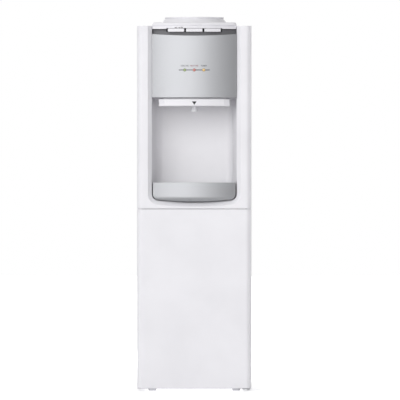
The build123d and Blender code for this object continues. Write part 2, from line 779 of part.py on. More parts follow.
# Cross rail behind the seam, which carries the upper hinge
with BuildPart() as cross_rail:
    rail_back = RIM_Y + SHEET + RAIL_DEPTH
    rail_top = FRAME_BOTTOM + RAIL_HEIGHT
    block(-SIDE_INNER, SIDE_INNER, RIM_Y + SHEET, rail_back, FRAME_BOTTOM, rail_top)
    block(
        -SIDE_INNER,
        SIDE_INNER,
        RIM_Y + 2 * SHEET,
        rail_back,
        FRAME_BOTTOM + SHEET,
        rail_top - SHEET,
        mode=Mode.SUBTRACT,
    )
keep(cross_rail, "cross_rail")

# Upper front frame: columns and sill round a bevelled opening
with BuildPart() as front_frame:
    with BuildSketch(Plane.XY.offset(FRAME_BOTTOM)) as frame_plan:
        with Locations((0, (FRONT + RIM_Y) / 2)):
            Rectangle(BODY_WIDTH, FRAME_DEPTH)
        fillet(frame_plan.vertices().group_by(Axis.Y)[0], radius=EDGE_ROUND)
    extrude(amount=FRAME_TOP - FRAME_BOTTOM)
    extrude(opening_sketch(RIM_Y, 0, FRAME_TOP + BEVEL_WIDTH), amount=FRAME_DEPTH, mode=Mode.SUBTRACT)
    loft(
        [
            opening_sketch(FRONT, BEVEL_WIDTH, FRAME_TOP + BEVEL_WIDTH).face(),
            opening_sketch(FRONT + BEVEL_DEPTH, 0, FRAME_TOP + BEVEL_WIDTH).face(),
        ],
        ruled=True,
        mode=Mode.SUBTRACT,
    )
    for side in (-1, 1):
        with BuildSketch(Plane.XY.offset(FRAME_BOTTOM + WALL)) as column_plan:
            with BuildLine():
                Polyline(
                    (side * (OPENING_HALF + WALL), RIM_Y),
                    (side * (OPENING_HALF + WALL), FRONT + BEVEL_DEPTH + WALL),
                    (side * (OPENING_HALF + BEVEL_WIDTH + WALL), FRONT + BEVEL_DEPTH + WALL),
                    (side * (OPENING_HALF + BEVEL_WIDTH + WALL), FRONT + WALL),
                    (side * (BODY_WIDTH / 2 - WALL), FRONT + WALL),
                    (side * (BODY_WIDTH / 2 - WALL), RIM_Y),
                    close=True,
                )
            make_face()
            fillet(
                column_plan.vertices().group_by(Axis.Y)[0].sort_by(Axis.X)[-1 if side > 0 else 0],
                radius=EDGE_ROUND - WALL,
            )
        extrude(amount=FRAME_TOP - FRAME_BOTTOM - 2 * WALL, mode=Mode.SUBTRACT)
    block(
        -OPENING_HALF - WALL,
        OPENING_HALF + WALL,
        FRONT + BEVEL_DEPTH + WALL,
        RIM_Y,
        FRAME_BOTTOM + WALL,
        SILL_TOP - WALL,
        mode=Mode.SUBTRACT,
    )
    hinge_plate(FRAME_BOTTOM, FRAME_BOTTOM + WALL, RIM_Y, FIT, mode=Mode.SUBTRACT)
keep(front_frame, "front_frame")

# Liner of the dispensing recess
with BuildPart() as recess_liner:
    recess_slab(RECESS_FLOOR - WALL, RECESS_TOP + WALL, RIM_Y, WALL)
    block(
        -OPENING_HALF - RECESS_FLANGE,
        OPENING_HALF + RECESS_FLANGE,
        RIM_Y,
        RIM_Y + WALL,
        RECESS_FLOOR - RECESS_FLANGE,
        RECESS_TOP + WALL,
    )
    recess_slab(RECESS_FLOOR, RECESS_TOP, RIM_Y, 0, mode=Mode.SUBTRACT)
keep(recess_liner, "recess_liner")

# Bowed silver panel, hollow behind
with BuildPart() as front_panel:
    bowed_slab(RECESS_TOP, PANEL_TOP, 0, RIM_Y, -PANEL_HALF, PANEL_HALF)
    fillet(front_panel.edges().filter_by(GeomType.CIRCLE).sort_by(Axis.Z)[0], radius=PANEL_EDGE_ROUND)
    panel_top_cut(0, True)
    bowed_slab(
        RECESS_TOP + WALL,
        PANEL_CEILING,
        WALL,
        RIM_Y,
        -PANEL_HALF + WALL,
        PANEL_HALF - WALL,
        mode=Mode.SUBTRACT,
    )
    for x in (-(BOARD_WIDTH / 2 - BOARD_POST_INSET), BOARD_WIDTH / 2 - BOARD_POST_INSET):
        rod((x, bow_y(x, WALL / 2), LAMP_Z), (x, BOARD_FRONT, LAMP_Z), BOARD_POST_RADIUS)
    bowed_band(STRIP_BOTTOM, STRIP_TOP, -ROOM, STRIP_DEPTH, STRIP_WIDTH / 2, mode=Mode.SUBTRACT)
    for x in LAMP_PLACES:
        rod((x, CREST_Y - ROOM, LAMP_Z), (x, BOARD_FRONT, LAMP_Z), LAMP_RADIUS + FIT, mode=Mode.SUBTRACT)
    for x in KEY_PLACES:
        rod((x, TAP_Y, PANEL_CEILING), (x, TAP_Y, PANEL_TOP), PLUNGER_RADIUS + ROOM, mode=Mode.SUBTRACT)
    rod((0, TAP_Y, RECESS_TOP), (0, TAP_Y, RECESS_TOP + WALL), NOZZLE_WAIST + FIT, mode=Mode.SUBTRACT)
keep(front_panel, "front_panel")

# Indicator row: a dark strip let into the panel, three lamps through it and their board
with BuildPart() as indicator_strip:
    bowed_band(STRIP_BOTTOM, STRIP_TOP, 0, STRIP_DEPTH, STRIP_WIDTH / 2)
    for x in LAMP_PLACES:
        rod((x, CREST_Y - ROOM, LAMP_Z), (x, BOARD_FRONT, LAMP_Z), LAMP_RADIUS + FIT, mode=Mode.SUBTRACT)
keep(indicator_strip, "indicator_strip")

for lamp_name, x in zip(LAMP_NAMES, LAMP_PLACES):
    with BuildPart() as lamp:
        face_y = bow_y(x, 0)
        rod((x, BOARD_FRONT, LAMP_Z), (x, face_y - LAMP_DOME, LAMP_Z), LAMP_RADIUS)
        fillet(lamp.edges().sort_by(Axis.Y)[0], radius=LAMP_DOME)
    keep(lamp, lamp_name)

with BuildPart() as lamp_board:
    block(
        -BOARD_WIDTH / 2,
        BOARD_WIDTH / 2,
        BOARD_FRONT,
        BOARD_FRONT + BOARD_THICKNESS,
        LAMP_Z - BOARD_HEIGHT / 2,
        LAMP_Z + BOARD_HEIGHT / 2,
    )
keep(lamp_board, "lamp_board")

# Dark band: curved wall, floor over the panel and the brackets of the button pivot
with BuildPart() as button_bezel:
    bowed_band(PANEL_LOW, BROW_BOTTOM - FIT, BEZEL_INSET, BEZEL_INSET + WALL, PANEL_HALF)
    bowed_slab(
        PANEL_TOP + FIT,
        BEZEL_FLOOR_TOP,
        BEZEL_INSET,
        KEY_PIVOT_Y + BEZEL_TAIL,
        -PANEL_HALF,
        PANEL_HALF,
    )
    panel_top_cut(FIT, False)
    bowed_slab(
        PANEL_LOW + KEY_SILL,
        BROW_BOTTOM,
        0,
        KEY_PIVOT_Y + BEZEL_TAIL,
        -KEY_ROW_HALF - ROOM,
        KEY_ROW_HALF + ROOM,
        mode=Mode.SUBTRACT,
    )
    for place in range(len(KEY_PLACES) + 1):
        x = -KEY_ROW_HALF + place * KEY_PITCH
        block(
            x - KEY_BRACKET / 2,
            x + KEY_BRACKET / 2,
            KEY_PIVOT_Y - KEY_HUB_RADIUS,
            KEY_PIVOT_Y + KEY_HUB_RADIUS,
            BEZEL_FLOOR_TOP,
            KEY_PIVOT_Z + KEY_HUB_RADIUS,
        )
    rod(
        (-PANEL_HALF, KEY_PIVOT_Y, KEY_PIVOT_Z),
        (PANEL_HALF, KEY_PIVOT_Y, KEY_PIVOT_Z),
        KEY_PIN_RADIUS + RUNNING,
        mode=Mode.SUBTRACT,
    )
    for x in KEY_PLACES:
        rod((x, TAP_Y, PANEL_TOP), (x, TAP_Y, BEZEL_FLOOR_TOP), PLUNGER_RADIUS + ROOM, mode=Mode.SUBTRACT)
keep(button_bezel, "button_bezel")

with BuildPart() as button_pivot_pin:
    reach = KEY_ROW_HALF + KEY_BRACKET
    rod((-reach, KEY_PIVOT_Y, KEY_PIVOT_Z), (reach, KEY_PIVOT_Y, KEY_PIVOT_Z), KEY_PIN_RADIUS)
keep(button_pivot_pin, "button_pivot_pin")

# Buttons, plungers and taps, one of each for hot, warm and cold
for key_name, x in zip(KEY_NAMES, KEY_PLACES):
    left = x - KEY_WIDTH / 2
    right = x + KEY_WIDTH / 2
    with BuildPart() as button:
        bowed_slab(KEY_BOTTOM, KEY_TOP, KEY_INSET, KEY_PIVOT_Y, left, right)
        fillet(button.edges().filter_by(GeomType.CIRCLE), radius=KEY_EDGE_ROUND)
        bowed_slab(
            KEY_BOTTOM,
            KEY_TOP - KEY_PLATE,
            KEY_INSET + KEY_PLATE,
            KEY_PIVOT_Y,
            left,
            right,
            mode=Mode.SUBTRACT,
        )
        rod((left, KEY_PIVOT_Y, KEY_PIVOT_Z), (right, KEY_PIVOT_Y, KEY_PIVOT_Z), KEY_HUB_RADIUS)
        block(
            x - KEY_PAD_HALF,
            x + KEY_PAD_HALF,
            TAP_Y - KEY_PAD_HALF,
            TAP_Y + KEY_PAD_HALF,
            PAD_BOTTOM,
            KEY_TOP - KEY_PLATE,
        )
        rod(
            (left, KEY_PIVOT_Y, KEY_PIVOT_Z),
            (right, KEY_PIVOT_Y, KEY_PIVOT_Z),
            KEY_PIN_RADIUS + RUNNING,
            mode=Mode.SUBTRACT,
        )
    keep(button, f"{key_name}_button")

    with BuildPart() as plunger:
        foot = TAP_TOP - PLUNGER_DEPTH
        collar = TAP_TOP + GLAND_HEIGHT + PLUNGER_COLLAR_RISE
        turned(
            [
                (0, foot),
                (PLUNGER_RADIUS, foot),
                (PLUNGER_RADIUS, collar),
                (PLUNGER_COLLAR, collar),
                (PLUNGER_COLLAR, collar + WALL),
                (PLUNGER_RADIUS, collar + WALL),
                (PLUNGER_RADIUS, PLUNGER_TOP - PLUNGER_TIP),
                (PLUNGER_TIP_RADIUS, PLUNGER_TOP),
                (0, PLUNGER_TOP),
            ],
            (x, TAP_Y, 0),
        )
    keep(plunger, f"{key_name}_plunger")

# Taps, one behind each button
with BuildPart() as taps:
    for x in KEY_PLACES:
        rod((x, TAP_Y, TAP_BOTTOM), (x, TAP_Y, TAP_TOP), TAP_RADIUS)
        with BuildSketch(Plane.XY.offset(TAP_TOP)):
            with Locations((x, TAP_Y)):
                RegularPolygon(GLAND_RADIUS, GLAND_SIDES)
        extrude(amount=GLAND_HEIGHT)
        block(
            x - TAP_FLANGE_WIDTH / 2,
            x + TAP_FLANGE_WIDTH / 2,
            TAP_Y + TAP_RADIUS,
            BRACKET_FRONT,
            TAP_BOTTOM,
            TAP_TOP,
        )
        block(
            x - TAP_RADIUS / 2,
            x + TAP_RADIUS / 2,
            TAP_Y,
            TAP_Y + TAP_RADIUS,
            TAP_BOTTOM,
            TAP_TOP,
        )
        rod((x, TAP_Y, TAP_BOTTOM), (x, TAP_Y, OUTLET_BOTTOM), STUB_RADIUS)
        rod((x, TAP_Y, INLET_Z), (x, HOSE_Y + STUB_RADIUS, INLET_Z), STUB_RADIUS)
        rod((x, HOSE_Y, INLET_Z), (x, HOSE_Y, HOSE_TOP), STUB_RADIUS)
        rod(
            (x, TAP_Y, TAP_TOP - PLUNGER_DEPTH - PLUNGER_TRAVEL),
            (x, TAP_Y, TAP_TOP + GLAND_HEIGHT),
            PLUNGER_RADIUS + RUNNING,
            mode=Mode.SUBTRACT,
        )
keep(taps, "taps")

# Bracket that carries the taps over the recess
with BuildPart() as tap_bracket:
    block(-PANEL_HALF + WALL, PANEL_HALF - WALL, BRACKET_FRONT, BRACKET_BACK, RECESS_TOP + WALL, TAP_TOP)
    block(
        -PANEL_HALF + WALL,
        PANEL_HALF - WALL,
        BRACKET_BACK,
        BRACKET_BACK + BRACKET_FOOT,
        RECESS_TOP + WALL,
        RECESS_TOP + WALL + BRACKET_SHEET,
    )
    for x in KEY_PLACES:
        rod((x, BRACKET_FRONT, INLET_Z), (x, BRACKET_BACK, INLET_Z), STUB_RADIUS + FIT, mode=Mode.SUBTRACT)
keep(tap_bracket, "tap_bracket")

# Manifold that joins the three taps to the nozzle
with BuildPart() as outlet_manifold:
    for radius, mode in ((MANIFOLD_RADIUS, Mode.ADD), (MANIFOLD_BORE, Mode.SUBTRACT)):
        reach = KEY_PITCH + radius
        rod((-reach, TAP_Y, MANIFOLD_Z), (reach, TAP_Y, MANIFOLD_Z), radius, mode=mode)
        for x in KEY_PLACES:
            rod((x, TAP_Y, MANIFOLD_Z), (x, TAP_Y, OUTLET_BOTTOM), radius, mode=mode)
        rod((0, TAP_Y, MANIFOLD_Z), (0, TAP_Y, NOZZLE_TOP), radius, mode=mode)
keep(outlet_manifold, "outlet_manifold")

# White bar under the panel and the nozzle that comes out of it
with BuildPart() as nozzle_cover:
    cover_back = CREST_Y + NOZZLE_COVER_INSET + NOZZLE_COVER_DEPTH
    bowed_slab(
        NOZZLE_COVER_BOTTOM,
        NOZZLE_COVER_TOP,
        NOZZLE_COVER_INSET,
        cover_back,
        -NOZZLE_COVER_HALF,
        NOZZLE_COVER_HALF,
    )
    fillet(
        nozzle_cover.edges().filter_by(GeomType.CIRCLE).group_by(Axis.Z)[0],
        radius=PANEL_EDGE_ROUND,
    )
    facet_x = NOZZLE_COVER_HALF - NOZZLE_FACET_WIDTH
    facet_end = bow_y(NOZZLE_COVER_HALF, NOZZLE_COVER_INSET) + NOZZLE_FACET_DEPTH
    for side in (-1, 1):
        with BuildSketch(Plane.XY.offset(NOZZLE_COVER_BOTTOM)) as facet:
            with BuildLine():
                Polyline(
                    (side * facet_x, bow_y(facet_x, NOZZLE_COVER_INSET)),
                    (side * NOZZLE_COVER_HALF, facet_end),
                    (side * NOZZLE_COVER_HALF, CREST_Y),
                    (side * facet_x, CREST_Y),
                    close=True,
                )
            make_face()
        extrude(facet.sketch, amount=NOZZLE_COVER_HEIGHT, mode=Mode.SUBTRACT)
    bowed_slab(
        NOZZLE_COVER_TOP,
        RECESS_TOP,
        NOZZLE_COVER_INSET + NOZZLE_NECK_STEP,
        cover_back,
        -NOZZLE_COVER_HALF + NOZZLE_NECK_STEP,
        NOZZLE_COVER_HALF - NOZZLE_NECK_STEP,
    )
    bowed_slab(
        NOZZLE_SEAT,
        RECESS_TOP,
        NOZZLE_COVER_INSET + NOZZLE_NECK_STEP + WALL,
        cover_back - WALL,
        -NOZZLE_COVER_HALF + NOZZLE_NECK_STEP + WALL,
        NOZZLE_COVER_HALF - NOZZLE_NECK_STEP - WALL,
        mode=Mode.SUBTRACT,
    )
    rod((0, TAP_Y, NOZZLE_COVER_BOTTOM), (0, TAP_Y, NOZZLE_SEAT), NOZZLE_WAIST + FIT, mode=Mode.SUBTRACT)
keep(nozzle_cover, "nozzle_cover")

with BuildPart() as outlet_nozzle:
    turned(
        [
            (NOZZLE_BORE, NOZZLE_BOTTOM),
            (NOZZLE_RADIUS, NOZZLE_BOTTOM),
            (NOZZLE_RADIUS, NOZZLE_BOTTOM + NOZZLE_LIP),
            (NOZZLE_WAIST, NOZZLE_BOTTOM + 2 * NOZZLE_LIP),
            (NOZZLE_WAIST, NOZZLE_SEAT),
            (NOZZLE_FLANGE, NOZZLE_SEAT),
            (NOZZLE_FLANGE, NOZZLE_SEAT + WALL),
            (NOZZLE_WAIST, NOZZLE_SEAT + WALL),
            (NOZZLE_WAIST, NOZZLE_TOP),
            (NOZZLE_BORE, NOZZLE_TOP),
        ],
        (0, TAP_Y, 0),
    )
keep(outlet_nozzle, "outlet_nozzle")

# Drip tray: bowed front with a rounded lower edge, and a basin that reaches into the recess
with BuildPart() as drip_tray:
    bowed_slab(SILL_TOP + TRAY_GAP, TRAY_TOP, 0, RIM_Y, -OPENING_HALF, OPENING_HALF)
    fillet(drip_tray.edges().filter_by(GeomType.CIRCLE).sort_by(Axis.Z)[0], radius=TRAY_LIP_ROUND)
    block(-OPENING_HALF, OPENING_HALF, RIM_Y - FIT, RIM_Y, SILL_TOP, RECESS_FLOOR, mode=Mode.SUBTRACT)
    recess_slab(RECESS_FLOOR, TRAY_TOP, RIM_Y, -TRAY_GAP)
    extrude(
        opening_sketch(RECESS_BACK, -TRAY_GAP, TRAY_TOP),
        amount=RECESS_BACK - CREST_Y,
        mode=Mode.INTERSECT,
    )
    basin_floor = RECESS_FLOOR + TRAY_FLOOR
    grille_seat = TRAY_TOP - GRILLE_DROP - GRILLE_THICKNESS
    basin_inset = TRAY_RIM + TRAY_LEDGE
    recess_slab(basin_floor, grille_seat, RIM_Y, -TRAY_GAP - basin_inset, mode=Mode.SUBTRACT)
    block(
        -TRAY_HALF + basin_inset,
        TRAY_HALF - basin_inset,
        FRONT + WALL,
        RIM_Y,
        basin_floor,
        grille_seat,
        mode=Mode.SUBTRACT,
    )
    bowed_slab(
        basin_floor,
        grille_seat,
        basin_inset,
        RIM_Y,
        -TRAY_HALF + basin_inset,
        TRAY_HALF - basin_inset,
        mode=Mode.SUBTRACT,
    )
    recess_slab(grille_seat, TRAY_TOP, RIM_Y, -TRAY_GAP - TRAY_RIM, mode=Mode.SUBTRACT)
    bowed_slab(
        grille_seat,
        TRAY_TOP,
        TRAY_RIM,
        RIM_Y,
        -TRAY_HALF + TRAY_RIM,
        TRAY_HALF - TRAY_RIM,
        mode=Mode.SUBTRACT,
    )
keep(drip_tray, "drip_tray")

with BuildPart() as drip_grille:
    grille_rim = TRAY_RIM + GRILLE_PLAY
    grille_top = grille_seat + GRILLE_THICKNESS
    recess_slab(grille_seat, grille_top, RIM_Y, -TRAY_GAP - grille_rim)
    bowed_slab(grille_seat, grille_top, grille_rim, RIM_Y, -TRAY_HALF + grille_rim, TRAY_HALF - grille_rim)
    slot_reach = recess_half(RECESS_BACK, -TRAY_GAP - grille_rim) - SLOT_SIDE
    slot_count = 2 * math.floor(slot_reach / SLOT_PITCH) + 1
    slot_front = FRONT + SLOT_MARGIN
    slot_back = RECESS_BACK - TRAY_GAP - grille_rim - SLOT_MARGIN
    with BuildSketch(Plane.XY.offset(grille_seat)):
        with Locations((0, (slot_front + slot_back) / 2)):
            with GridLocations(SLOT_PITCH, SLOT_PITCH, slot_count, 1):
                SlotOverall(slot_back - slot_front, SLOT_WIDTH, rotation=QUARTER_TURN)
    extrude(amount=GRILLE_THICKNESS, mode=Mode.SUBTRACT)
keep(drip_grille, "drip_grille")

# Top cover: skirted lid with a raised platform that runs out into a brow over the buttons
with BuildPart() as top_cover:
    block(-SIDE_OUTER, SIDE_OUTER, RIM_Y, BACK + COVER_OVERHANG, COVER_BOTTOM, FRAME_TOP)
    fillet(
        top_cover.edges().group_by(Axis.Z)[-1].sort_by(Axis.Y)[1:],
        radius=COVER_ROUND,
    )
    bowed_slab(
        BROW_BOTTOM,
        PLATFORM_TOP,
        BROW_INSET,
        CREST_Y + PLATFORM_LENGTH,
        -PANEL_HALF,
        PANEL_HALF,
        corner=PLATFORM_CORNER,
        rear_corner=PLATFORM_REAR_ROUND,
    )
    fillet(top_cover.edges().group_by(Axis.Z)[-1], radius=PLATFORM_ROUND)
    groove_bottom = BROW_BOTTOM + BROW_LIP
    groove_top = groove_bottom + BROW_GROOVE_HEIGHT
    bowed_band(groove_bottom, groove_top, 0, BROW_INSET + BROW_GROOVE, OPENING_HALF, mode=Mode.SUBTRACT)
    block(
        -SIDE_OUTER + WALL,
        SIDE_OUTER - WALL,
        RIM_Y + WALL,
        BACK + COVER_OVERHANG - WALL,
        COVER_BOTTOM,
        FRAME_TOP - WALL,
        mode=Mode.SUBTRACT,
    )
    bowed_slab(
        COVER_BOTTOM,
        PLATFORM_TOP - WALL,
        BROW_INSET + BROW_GROOVE + WALL,
        CREST_Y + PLATFORM_LENGTH - WALL,
        -PANEL_HALF + WALL,
        PANEL_HALF - WALL,
        rear_corner=PLATFORM_REAR_ROUND - WALL,
        mode=Mode.SUBTRACT,
    )
    key_window = KEY_ROW_HALF + ROOM
    window_top = KEY_TOP + ROOM
    bowed_slab(BROW_BOTTOM, window_top, -ROOM, RIM_Y, -key_window, key_window, mode=Mode.SUBTRACT)
    bowed_band(window_top, groove_bottom, 0, BROW_INSET + BROW_GROOVE, key_window, mode=Mode.SUBTRACT)
    rod((0, BOTTLE_Y, COVER_BOTTOM), (0, BOTTLE_Y, PLATFORM_TOP), PLUG_RADIUS + FIT, mode=Mode.SUBTRACT)
keep(top_cover, "top_cover")

# Bottle seat: collar, bowl and throat in one moulding that lifts out
with BuildPart() as bottle_seat:
    rim_bottom = COLLAR_TOP - RIM_HEIGHT
    groove_low = rim_bottom - RIM_GROOVE_HEIGHT
    bowl_top = COLLAR_TOP - BOWL_LIP_DROP
    bowl_radius = COLLAR_TOP_RADIUS - RIM_WIDTH - BOWL_LIP
    bowl_slope = (bowl_top - THROAT_TOP) / (bowl_radius - THROAT_RADIUS)
    bowl_skin = WALL * math.sqrt(1 + bowl_slope**2)
    plug_inner = PLUG_RADIUS - WALL
    turned(
        [
            (THROAT_RADIUS, THROAT_BOTTOM),
            (THROAT_RADIUS, THROAT_TOP),
            (bowl_radius, bowl_top),
            (COLLAR_TOP_RADIUS - RIM_WIDTH, COLLAR_TOP),
            (COLLAR_TOP_RADIUS, COLLAR_TOP),
            (COLLAR_TOP_RADIUS, rim_bottom),
            (COLLAR_TOP_RADIUS - RIM_GROOVE, rim_bottom),
            (COLLAR_TOP_RADIUS - RIM_GROOVE, groove_low),
            (COLLAR_TOP_RADIUS, groove_low),
            (COLLAR_BASE_RADIUS, PLATFORM_TOP + COLLAR_FOOT),
            (COLLAR_BASE_RADIUS, PLATFORM_TOP),
            (PLUG_RADIUS, PLATFORM_TOP),
            (PLUG_RADIUS, SEAL_TOP + FIT),
            (plug_inner, SEAL_TOP + FIT),
            (plug_inner, THROAT_TOP + bowl_slope * (plug_inner - THROAT_RADIUS) - bowl_skin),
            (THROAT_RADIUS + WALL, THROAT_TOP + bowl_slope * WALL - bowl_skin),
            (THROAT_RADIUS + WALL, THROAT_BOTTOM),
        ],
        (0, BOTTLE_Y, 0),
    )
keep(bottle_seat, "bottle_seat")

# Cold tank with its seal, baffle, evaporator jacket, foam and shelf
with BuildPart() as cold_tank:
    turned(
        [
            (0, TANK_BOTTOM),
            (TANK_RADIUS, TANK_BOTTOM),
            (TANK_RADIUS, FOAM_TOP),
            (TANK_RADIUS + TANK_RIM, FOAM_TOP),
            (TANK_RADIUS + TANK_RIM, TANK_TOP),
            (0, TANK_TOP),
        ],
        (0, BOTTLE_Y, 0),
    )
    rod((KEY_PITCH, BOTTLE_Y, COLD_STUB_Z), (KEY_PITCH, STUB_END, COLD_STUB_Z), STUB_RADIUS)
    rod((0, BOTTLE_Y, WARM_STUB_Z), (0, STUB_END, WARM_STUB_Z), STUB_RADIUS)
    rod((FEED_STUB_X, FEED_Y, TANK_BOTTOM), (FEED_STUB_X, FEED_Y, FEED_TOP), STUB_RADIUS)
    rod((0, BOTTLE_Y, TANK_BOTTOM + SHEET), (0, BOTTLE_Y, TANK_TOP), TANK_RADIUS - SHEET, mode=Mode.SUBTRACT)
keep(cold_tank, "cold_tank")

with BuildPart() as tank_seal:
    turned(
        [
            (PLUG_RADIUS - SEAL_WIDTH / 2 + FIT, TANK_TOP),
            (PLUG_RADIUS + SEAL_WIDTH / 2, TANK_TOP),
            (PLUG_RADIUS + SEAL_WIDTH / 2, SEAL_TOP),
            (PLUG_RADIUS - SEAL_WIDTH / 2 + FIT, SEAL_TOP),
        ],
        (0, BOTTLE_Y, 0),
    )
keep(tank_seal, "tank_seal")

with BuildPart() as tank_baffle:
    baffle_bottom = WARM_STUB_Z - BAFFLE_DROP
    turned(
        [
            (BAFFLE_STEM - WALL, TANK_BOTTOM + SHEET),
            (BAFFLE_STEM, TANK_BOTTOM + SHEET),
            (BAFFLE_STEM, baffle_bottom),
            (TANK_RADIUS - SHEET - ROOM, baffle_bottom),
            (TANK_RADIUS - SHEET - ROOM, baffle_bottom + BAFFLE_THICKNESS),
            (BAFFLE_STEM - WALL, baffle_bottom + BAFFLE_THICKNESS),
        ],
        (0, BOTTLE_Y, 0),
    )
keep(tank_baffle, "tank_baffle")

with BuildPart() as evaporator_jacket:
    rod((0, BOTTLE_Y, JACKET_BOTTOM), (0, BOTTLE_Y, JACKET_TOP), JACKET_RADIUS)
    for x, radius in JACKET_STUBS:
        rod((x, BOTTLE_Y, JACKET_STUB_Z), (x, FOAM_BACK + ROOM, JACKET_STUB_Z), radius)
    rod(
        (0, BOTTLE_Y, JACKET_BOTTOM),
        (0, BOTTLE_Y, JACKET_TOP),
        TANK_RADIUS + FIT,
        mode=Mode.SUBTRACT,
    )
keep(evaporator_jacket, "evaporator_jacket")

with BuildPart() as tank_foam:
    with BuildSketch(Plane.XY.offset(FOAM_BOTTOM)):
        with Locations((0, BOTTLE_Y)):
            RectangleRounded(2 * FOAM_HALF, 2 * FOAM_HALF, FOAM_ROUND)
    extrude(amount=FOAM_TOP - FOAM_BOTTOM)
    rod((0, BOTTLE_Y, TANK_BOTTOM), (0, BOTTLE_Y, FOAM_TOP), JACKET_RADIUS + FIT, mode=Mode.SUBTRACT)
    hole = STUB_RADIUS + FIT
    rod((KEY_PITCH, BOTTLE_Y, COLD_STUB_Z), (KEY_PITCH, FOAM_FRONT, COLD_STUB_Z), hole, mode=Mode.SUBTRACT)
    rod((0, BOTTLE_Y, WARM_STUB_Z), (0, FOAM_FRONT, WARM_STUB_Z), hole, mode=Mode.SUBTRACT)
    rod((FEED_STUB_X, FEED_Y, FOAM_BOTTOM), (FEED_STUB_X, FEED_Y, TANK_BOTTOM), hole, mode=Mode.SUBTRACT)
    for x, radius in JACKET_STUBS:
        rod((x, BOTTLE_Y, JACKET_STUB_Z), (x, FOAM_BACK, JACKET_STUB_Z), radius + FIT, mode=Mode.SUBTRACT)
    split(bisect_by=Plane.XZ.offset(-BOTTLE_Y), keep=Keep.BOTH)
keep(tank_foam, "tank_foam")

# Steel supports: the shelf under the cold tank and the bracket under the hot tank
with BuildPart() as tank_supports:
    block(-SIDE_INNER, SIDE_INNER, FOAM_FRONT - ROOM, INSIDE_BACK - LANE_DEPTH, SHELF_BOTTOM, FOAM_BOTTOM)
    rod(
        (FEED_STUB_X, FEED_Y, SHELF_BOTTOM),
        (FEED_STUB_X, FEED_Y, FOAM_BOTTOM),
        STUB_RADIUS + ROOM,
        mode=Mode.SUBTRACT,
    )
    hot_seat = HOT_FOAM_BOTTOM - BRACKET_SHEET
    block(-HOT_RADIUS, HOT_RADIUS, HOT_Y - HOT_RADIUS, INSIDE_BACK, hot_seat, HOT_FOAM_BOTTOM)
    block(-HOT_RADIUS, HOT_RADIUS, INSIDE_BACK - BRACKET_SHEET, INSIDE_BACK, hot_seat - HOT_FLANGE, hot_seat)
    rod((0, HOT_Y, hot_seat), (0, HOT_Y, HOT_FOAM_BOTTOM), STUB_RADIUS + ROOM, mode=Mode.SUBTRACT)
keep(tank_supports, "tank_supports")

# Hot tank with its band heater, thermostats and foam halves
with BuildPart() as hot_tank:
    rod((0, HOT_Y, HOT_BOTTOM), (0, HOT_Y, HOT_TOP), HOT_RADIUS)
    fillet(hot_tank.edges().filter_by(GeomType.CIRCLE), radius=HOT_EDGE_ROUND)
    rod((0, HOT_OUTLET_Y, HOT_TOP), (0, HOT_OUTLET_Y, HOT_STUB_Z), STUB_RADIUS)
    rod((0, HOT_Y, HOT_BOTTOM), (0, HOT_Y, HOT_FOAM_BOTTOM - STUB_LENGTH), STUB_RADIUS)
    rod((0, HOT_Y, HOT_INLET_Z), (HOT_INLET_X, HOT_Y, HOT_INLET_Z), STUB_RADIUS)
keep(hot_tank, "hot_tank")

with BuildPart() as hot_tank_heater:
    turned(
        [
            (HOT_RADIUS + FIT, HOT_BOTTOM + HEATER_RISE),
            (HOT_RADIUS + FIT + HEATER_WALL, HOT_BOTTOM + HEATER_RISE),
            (HOT_RADIUS + FIT + HEATER_WALL, HOT_BOTTOM + HEATER_RISE + HEATER_HEIGHT),
            (HOT_RADIUS + FIT, HOT_BOTTOM + HEATER_RISE + HEATER_HEIGHT),
        ],
        (0, HOT_Y, 0),
    )
    for x in (-THERMOSTAT_X, THERMOSTAT_X):
        rod((x, HOT_Y, HOT_TOP), (x, HOT_Y, HOT_TOP + THERMOSTAT_HEIGHT), THERMOSTAT_RADIUS)
keep(hot_tank_heater, "hot_tank_heater")

with BuildPart() as hot_tank_foam:
    rod((0, HOT_Y, HOT_FOAM_BOTTOM), (0, HOT_Y, HOT_FOAM_TOP), HOT_FOAM_RADIUS)
    rod((0, HOT_Y, HOT_BOTTOM), (0, HOT_Y, HOT_FOAM_CEILING), HOT_SLEEVE, mode=Mode.SUBTRACT)
    rod((0, HOT_OUTLET_Y, HOT_TOP), (0, HOT_OUTLET_Y, HOT_FOAM_TOP), STUB_RADIUS + FIT, mode=Mode.SUBTRACT)
    rod((0, HOT_Y, HOT_FOAM_BOTTOM), (0, HOT_Y, HOT_BOTTOM), STUB_RADIUS + FIT, mode=Mode.SUBTRACT)
    rod((0, HOT_Y, HOT_INLET_Z), (HOT_INLET_X, HOT_Y, HOT_INLET_Z), STUB_RADIUS + FIT, mode=Mode.SUBTRACT)
    split(bisect_by=Plane.YZ, keep=Keep.BOTH)
keep(hot_tank_foam, "hot_tank_foam")

